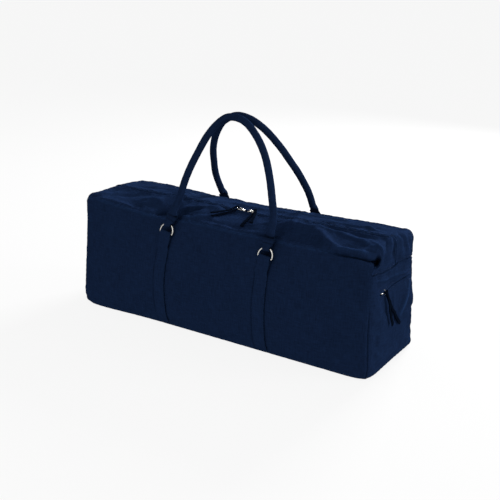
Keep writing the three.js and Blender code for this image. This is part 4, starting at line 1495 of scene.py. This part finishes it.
def modelStitch(thick):
    deselectAll()
    bpy.ops.mesh.primitive_uv_sphere_add(segments=6, ring_count=4, radius=0.5, rotation=(0, math.pi / 2, 0))
    bead = bpy.context.object
    bpy.ops.object.transform_apply(location=False, rotation=True, scale=False)
    bead.scale = (stitch["length"], thick, thick)
    bpy.ops.object.transform_apply(location=False, rotation=False, scale=True)
    return bead


def sewRows(name, rows, thick):
    bead = modelStitch(thick)
    reach = 0.001
    spots = []
    frames = []
    for piece, row in rows:
        row = np.asarray(row, float)
        walk = walked(row)
        places = (np.arange(int(walk[-1] / stitch["pitch"])) + 0.5) * stitch["pitch"]
        middles, ahead, behind = [
            np.stack([np.interp(places + step, walk, row[:, k]) for k in range(3)], axis=1)
            for step in (0, reach, -reach)
        ]
        for middle, heading in zip(middles, ahead - behind):
            _, spot, normal, _ = piece.closest_point_on_mesh(Vector(middle))
            normal = np.array(normal)
            heading = unit(heading - normal * (heading @ normal))
            spots.append(np.array(spot) + stitch["proud"] * thick * normal)
            frames.append([heading, np.cross(normal, heading), normal])
    finishPiece(scatter(name, bead, spots, frames), thread, "canvas")
    bpy.data.objects.remove(bead)
    print(name, "has", len(spots), "stitches")


# Rows beside the zip, the turn-downs and the pocket, a little above the cloth.
def panelRows():
    above = 0.004
    short = 0.004
    rows = []
    beside = bag["zipEdge"] + topStitch["in"]
    turnEnd = halfLength + bag["turnDown"] - 0.0050
    for panelName, side in (("top_panel_front", -1), ("top_panel_back", 1)):
        s = np.linspace(short - turnEnd, turnEnd - short, 300)
        rows.append((panelPieces[panelName], onTopStrip(s, side * beside, above)[0]))
        y = side * np.linspace(beside + 0.003, halfDepth - short, 40)
        for end in (-turnEnd, turnEnd):
            rows.append((panelPieces[panelName], onTopStrip(np.full(40, end), y, above)[0]))
    y = np.linspace(-bag["slitHalf"] - 0.005, bag["slitHalf"] + 0.005, 50)
    for side in (-1, 1):
        z = np.full(50, bag["pocketHeight"] + side * (bag["pocketGap"] / 2 + topStitch["in"]))
        rows.append((panelPieces["end_panel_right"], onPocketEnd(y, z, above)[0]))
    return rows


bpy.context.view_layer.update()
sewRows("panel_stitches", panelRows(), stitch["thick"])
for kind, thick in (("strap", stitch["thick"]), ("handle", stitch["heavy"])):
    sewRows(kind + "_stitches", [row for row in stitchRows if row[0].name.startswith(kind)], thick)
print("seams stitched")

# Sliders: a cast body narrowing to its nose, an arched bridge over it and a wire link under that.
slider = {"length": 0.013, "width": 0.0082, "plate": 0.0020, "bridge": 0.0020, "nose": 0.6, "tail": 0.86,
          "crown": 0.0004, "rounding": 0.0005}
link = {"length": 0.012, "halfWidth": 0.0046, "wire": 0.0016, "tilt": 14.0}
linkTilt = math.radians(link["tilt"])
linkRise = slider["plate"] + link["wire"] / 2 + clearance
# Each stands on a side of the box, sunk between the parted lips; tips are where its tie's tails end.
pulls = [
    {"nodes": ("zip_slider_left", "zip_link_left", "pull_tie_left"), "side": "top", "turn": -1,
     "sunk": 0.0006, "at": (sliderSpots["main"][0], 0.0), "tips": [(-0.031, -0.057), (-0.025, -0.063)]},
    {"nodes": ("zip_slider_right", "zip_link_right", "pull_tie_right"), "side": "top", "turn": 1,
     "sunk": 0.0006, "at": (sliderSpots["main"][1], 0.0), "tips": [(0.069, -0.062), (0.053, -0.073)]},
    {"nodes": ("pocket_slider", "pocket_link", "pocket_tie"), "side": "right", "turn": 1,
     "sunk": 0.0044, "at": (sliderSpots["pocket"], bag["pocketHeight"]),
     "tips": [(-0.020, 0.092), (0.023, 0.080)]},
]
# a side's own directions in columns: along the zip, across it and outward
sideAxes = {"top": np.eye(3), "right": np.array([[0, 0, 1], [1, 0, 0], [0, 1, 0]])}


def modelSlider():
    long, wide, plate = slider["length"], slider["width"], slider["plate"]
    deselectAll()
    bpy.ops.mesh.primitive_cube_add(size=1, location=(0, 0, plate / 2))
    body = bpy.context.object
    body.scale = (long, wide, plate)
    bpy.ops.object.transform_apply(location=True, rotation=False, scale=True)
    editAll(body)
    bpy.ops.mesh.subdivide(number_cuts=3)
    for end, narrowing in ((-1, slider["nose"]), (1, slider["tail"])):
        selectWhere(body, lambda p: end * p.x > long * 0.45)
        bpy.ops.transform.resize(value=(1, narrowing, 1), center_override=(end * long / 2, 0, plate / 2))
    selectWhere(body, lambda p: p.z > plate * 0.9 and abs(p.y) < wide * 0.3)
    bpy.ops.transform.translate(value=(0, 0, slider["crown"]))
    setMode("OBJECT")
    applyModifier(body, "BEVEL", width=slider["rounding"], segments=3, limit_method="ANGLE")
    bridgeFoot = (0, 0, plate - 0.0004)
    bpy.ops.mesh.primitive_torus_add(
        major_segments=32, minor_segments=12, major_radius=long * 0.3, minor_radius=slider["bridge"] / 2,
        location=bridgeFoot, rotation=(math.pi / 2, 0, 0))
    bridge = bpy.context.object
    bpy.ops.object.transform_apply(location=True, rotation=True, scale=False)
    editAll(bridge)
    bpy.ops.transform.resize(value=(1, 1.9, 1.02), center_override=bridgeFoot)
    bpy.ops.mesh.bisect(plane_co=(0, 0, plate * 0.6), plane_no=(0, 0, 1), clear_inner=True, use_fill=True)
    setMode("OBJECT")
    makeActive(body)
    bridge.select_set(True)
    bpy.ops.object.join()
    return body


def modelLink():
    deselectAll()
    bpy.ops.mesh.primitive_circle_add(vertices=48, radius=link["length"] / 2)
    piece = bpy.context.object
    editAll(piece)
    bpy.ops.transform.resize(value=(1, link["halfWidth"] / (link["length"] / 2), 1))
    bpy.ops.transform.translate(value=(link["length"] / 2, 0, 0))
    setMode("OBJECT")
    piece = wireOfPath(piece, link["wire"])
    piece.matrix_world = Matrix.Translation((0, 0, linkRise)) @ Matrix.Rotation(-linkTilt, 4, "Y")
    makeActive(piece)
    bpy.ops.object.transform_apply(location=True, rotation=True, scale=True)
    return piece


# Pull ties: a folded canvas strip round the link, its two tails lying on the cloth.
tie = {"width": 0.0072, "thickness": 0.0022, "flatWidth": 0.010, "narrowest": 0.7, "exponent": 0.3,
       "sides": 16, "steps": 3, "lifts": (0.0064, 0.0027)}  # the upper tail lies over the lower one


# Points along a tail, each with its share of the way from the link's end to the tip.
def tailPoints(pull, tip, shares, lift):
    linkEnd = np.array(pull["at"]) + [pull["turn"] * link["length"], 0.0]
    reach = np.array(tip) - linkEnd
    return [(offSide(pull["side"], *(linkEnd + reach * share), lift), share) for share in shares]


def tiePiece(name, place, pull):
    matrix = np.array(place)
    outward = matrix[:3, 2]
    far = np.array([link["length"] * math.cos(linkTilt), 0, linkRise + link["length"] * math.sin(linkTilt)])
    loop = link["wire"] / 2 + 3 * clearance + tie["thickness"] / 2
    shares = np.linspace(1, 0.3, 9)
    stations = tailPoints(pull, pull["tips"][0], shares, tie["lifts"][0])
    for turn in np.radians(np.linspace(70, 290, 9)):
        spot = far + loop * np.array([math.cos(turn), 0, math.sin(turn)])
        stations.append((matrix[:3, :3] @ spot + matrix[:3, 3], 0.0))
    stations += tailPoints(pull, pull["tips"][1], shares[::-1], tie["lifts"][1])
    centers = smoothRun([spot for spot, _ in stations], tie["steps"])
    widths = np.clip(smoothRun([[share] for _, share in stations], tie["steps"])[:, 0], 0, 1)
    # upper tail, loop and lower tail have as many stations each
    kinds = np.repeat([1, 0, -1], len(shares) * tie["steps"])[:len(centers)]
    angles = loopAngles(tie["sides"])
    loops = []
    lastAcross = None
    for center, share, kind, step in zip(centers, widths, kinds, unit(np.gradient(centers, axis=0))):
        across = matrix[:3, 1] if kind == 0 else np.cross(outward * kind, step)
        across = unit(across - step * (across @ step))
        if lastAcross is not None and across @ lastAcross < 0:
            across = -across
        lastAcross = across if lastAcross is None else across * 0.5 + lastAcross * 0.5
        across = unit(lastAcross)
        half = tie["width"] * (tie["narrowest"] + (1 - tie["narrowest"]) * share) / 2
        facing = np.cross(step, across)
        loops.append(roundedLoop(center, across, facing, half, tie["thickness"] / 2, tie["exponent"], angles))
    piece = loft(name + "_cloth", loops)
    finishPiece(piece, tieClothPaintedShade, "canvas", name)


def hangPulls():
    sliderPattern = modelSlider()
    linkPattern = modelLink()
    for pull in pulls:
        axes = sideAxes[pull["side"]]
        a, b = pull["at"]
        sharp = [a, b, height] if pull["side"] == "top" else [halfLength, a, b]
        place = Matrix((axes * [pull["turn"], pull["turn"], 1]).tolist()).to_4x4()
        place.translation = Vector(onCloth([sharp])[0] - pull["sunk"] * axes[:, 2])
        sliderNode, linkNode, tieNode = pull["nodes"]
        for pattern, node in ((sliderPattern, sliderNode), (linkPattern, linkNode)):
            finishPiece(copyPlaced(pattern, node + "_metal", place), nickel, "nickel", node)
        tiePiece(tieNode, place, pull)
    bpy.data.objects.remove(sliderPattern)
    bpy.data.objects.remove(linkPattern)


hangPulls()
print("sliders and ties hung")
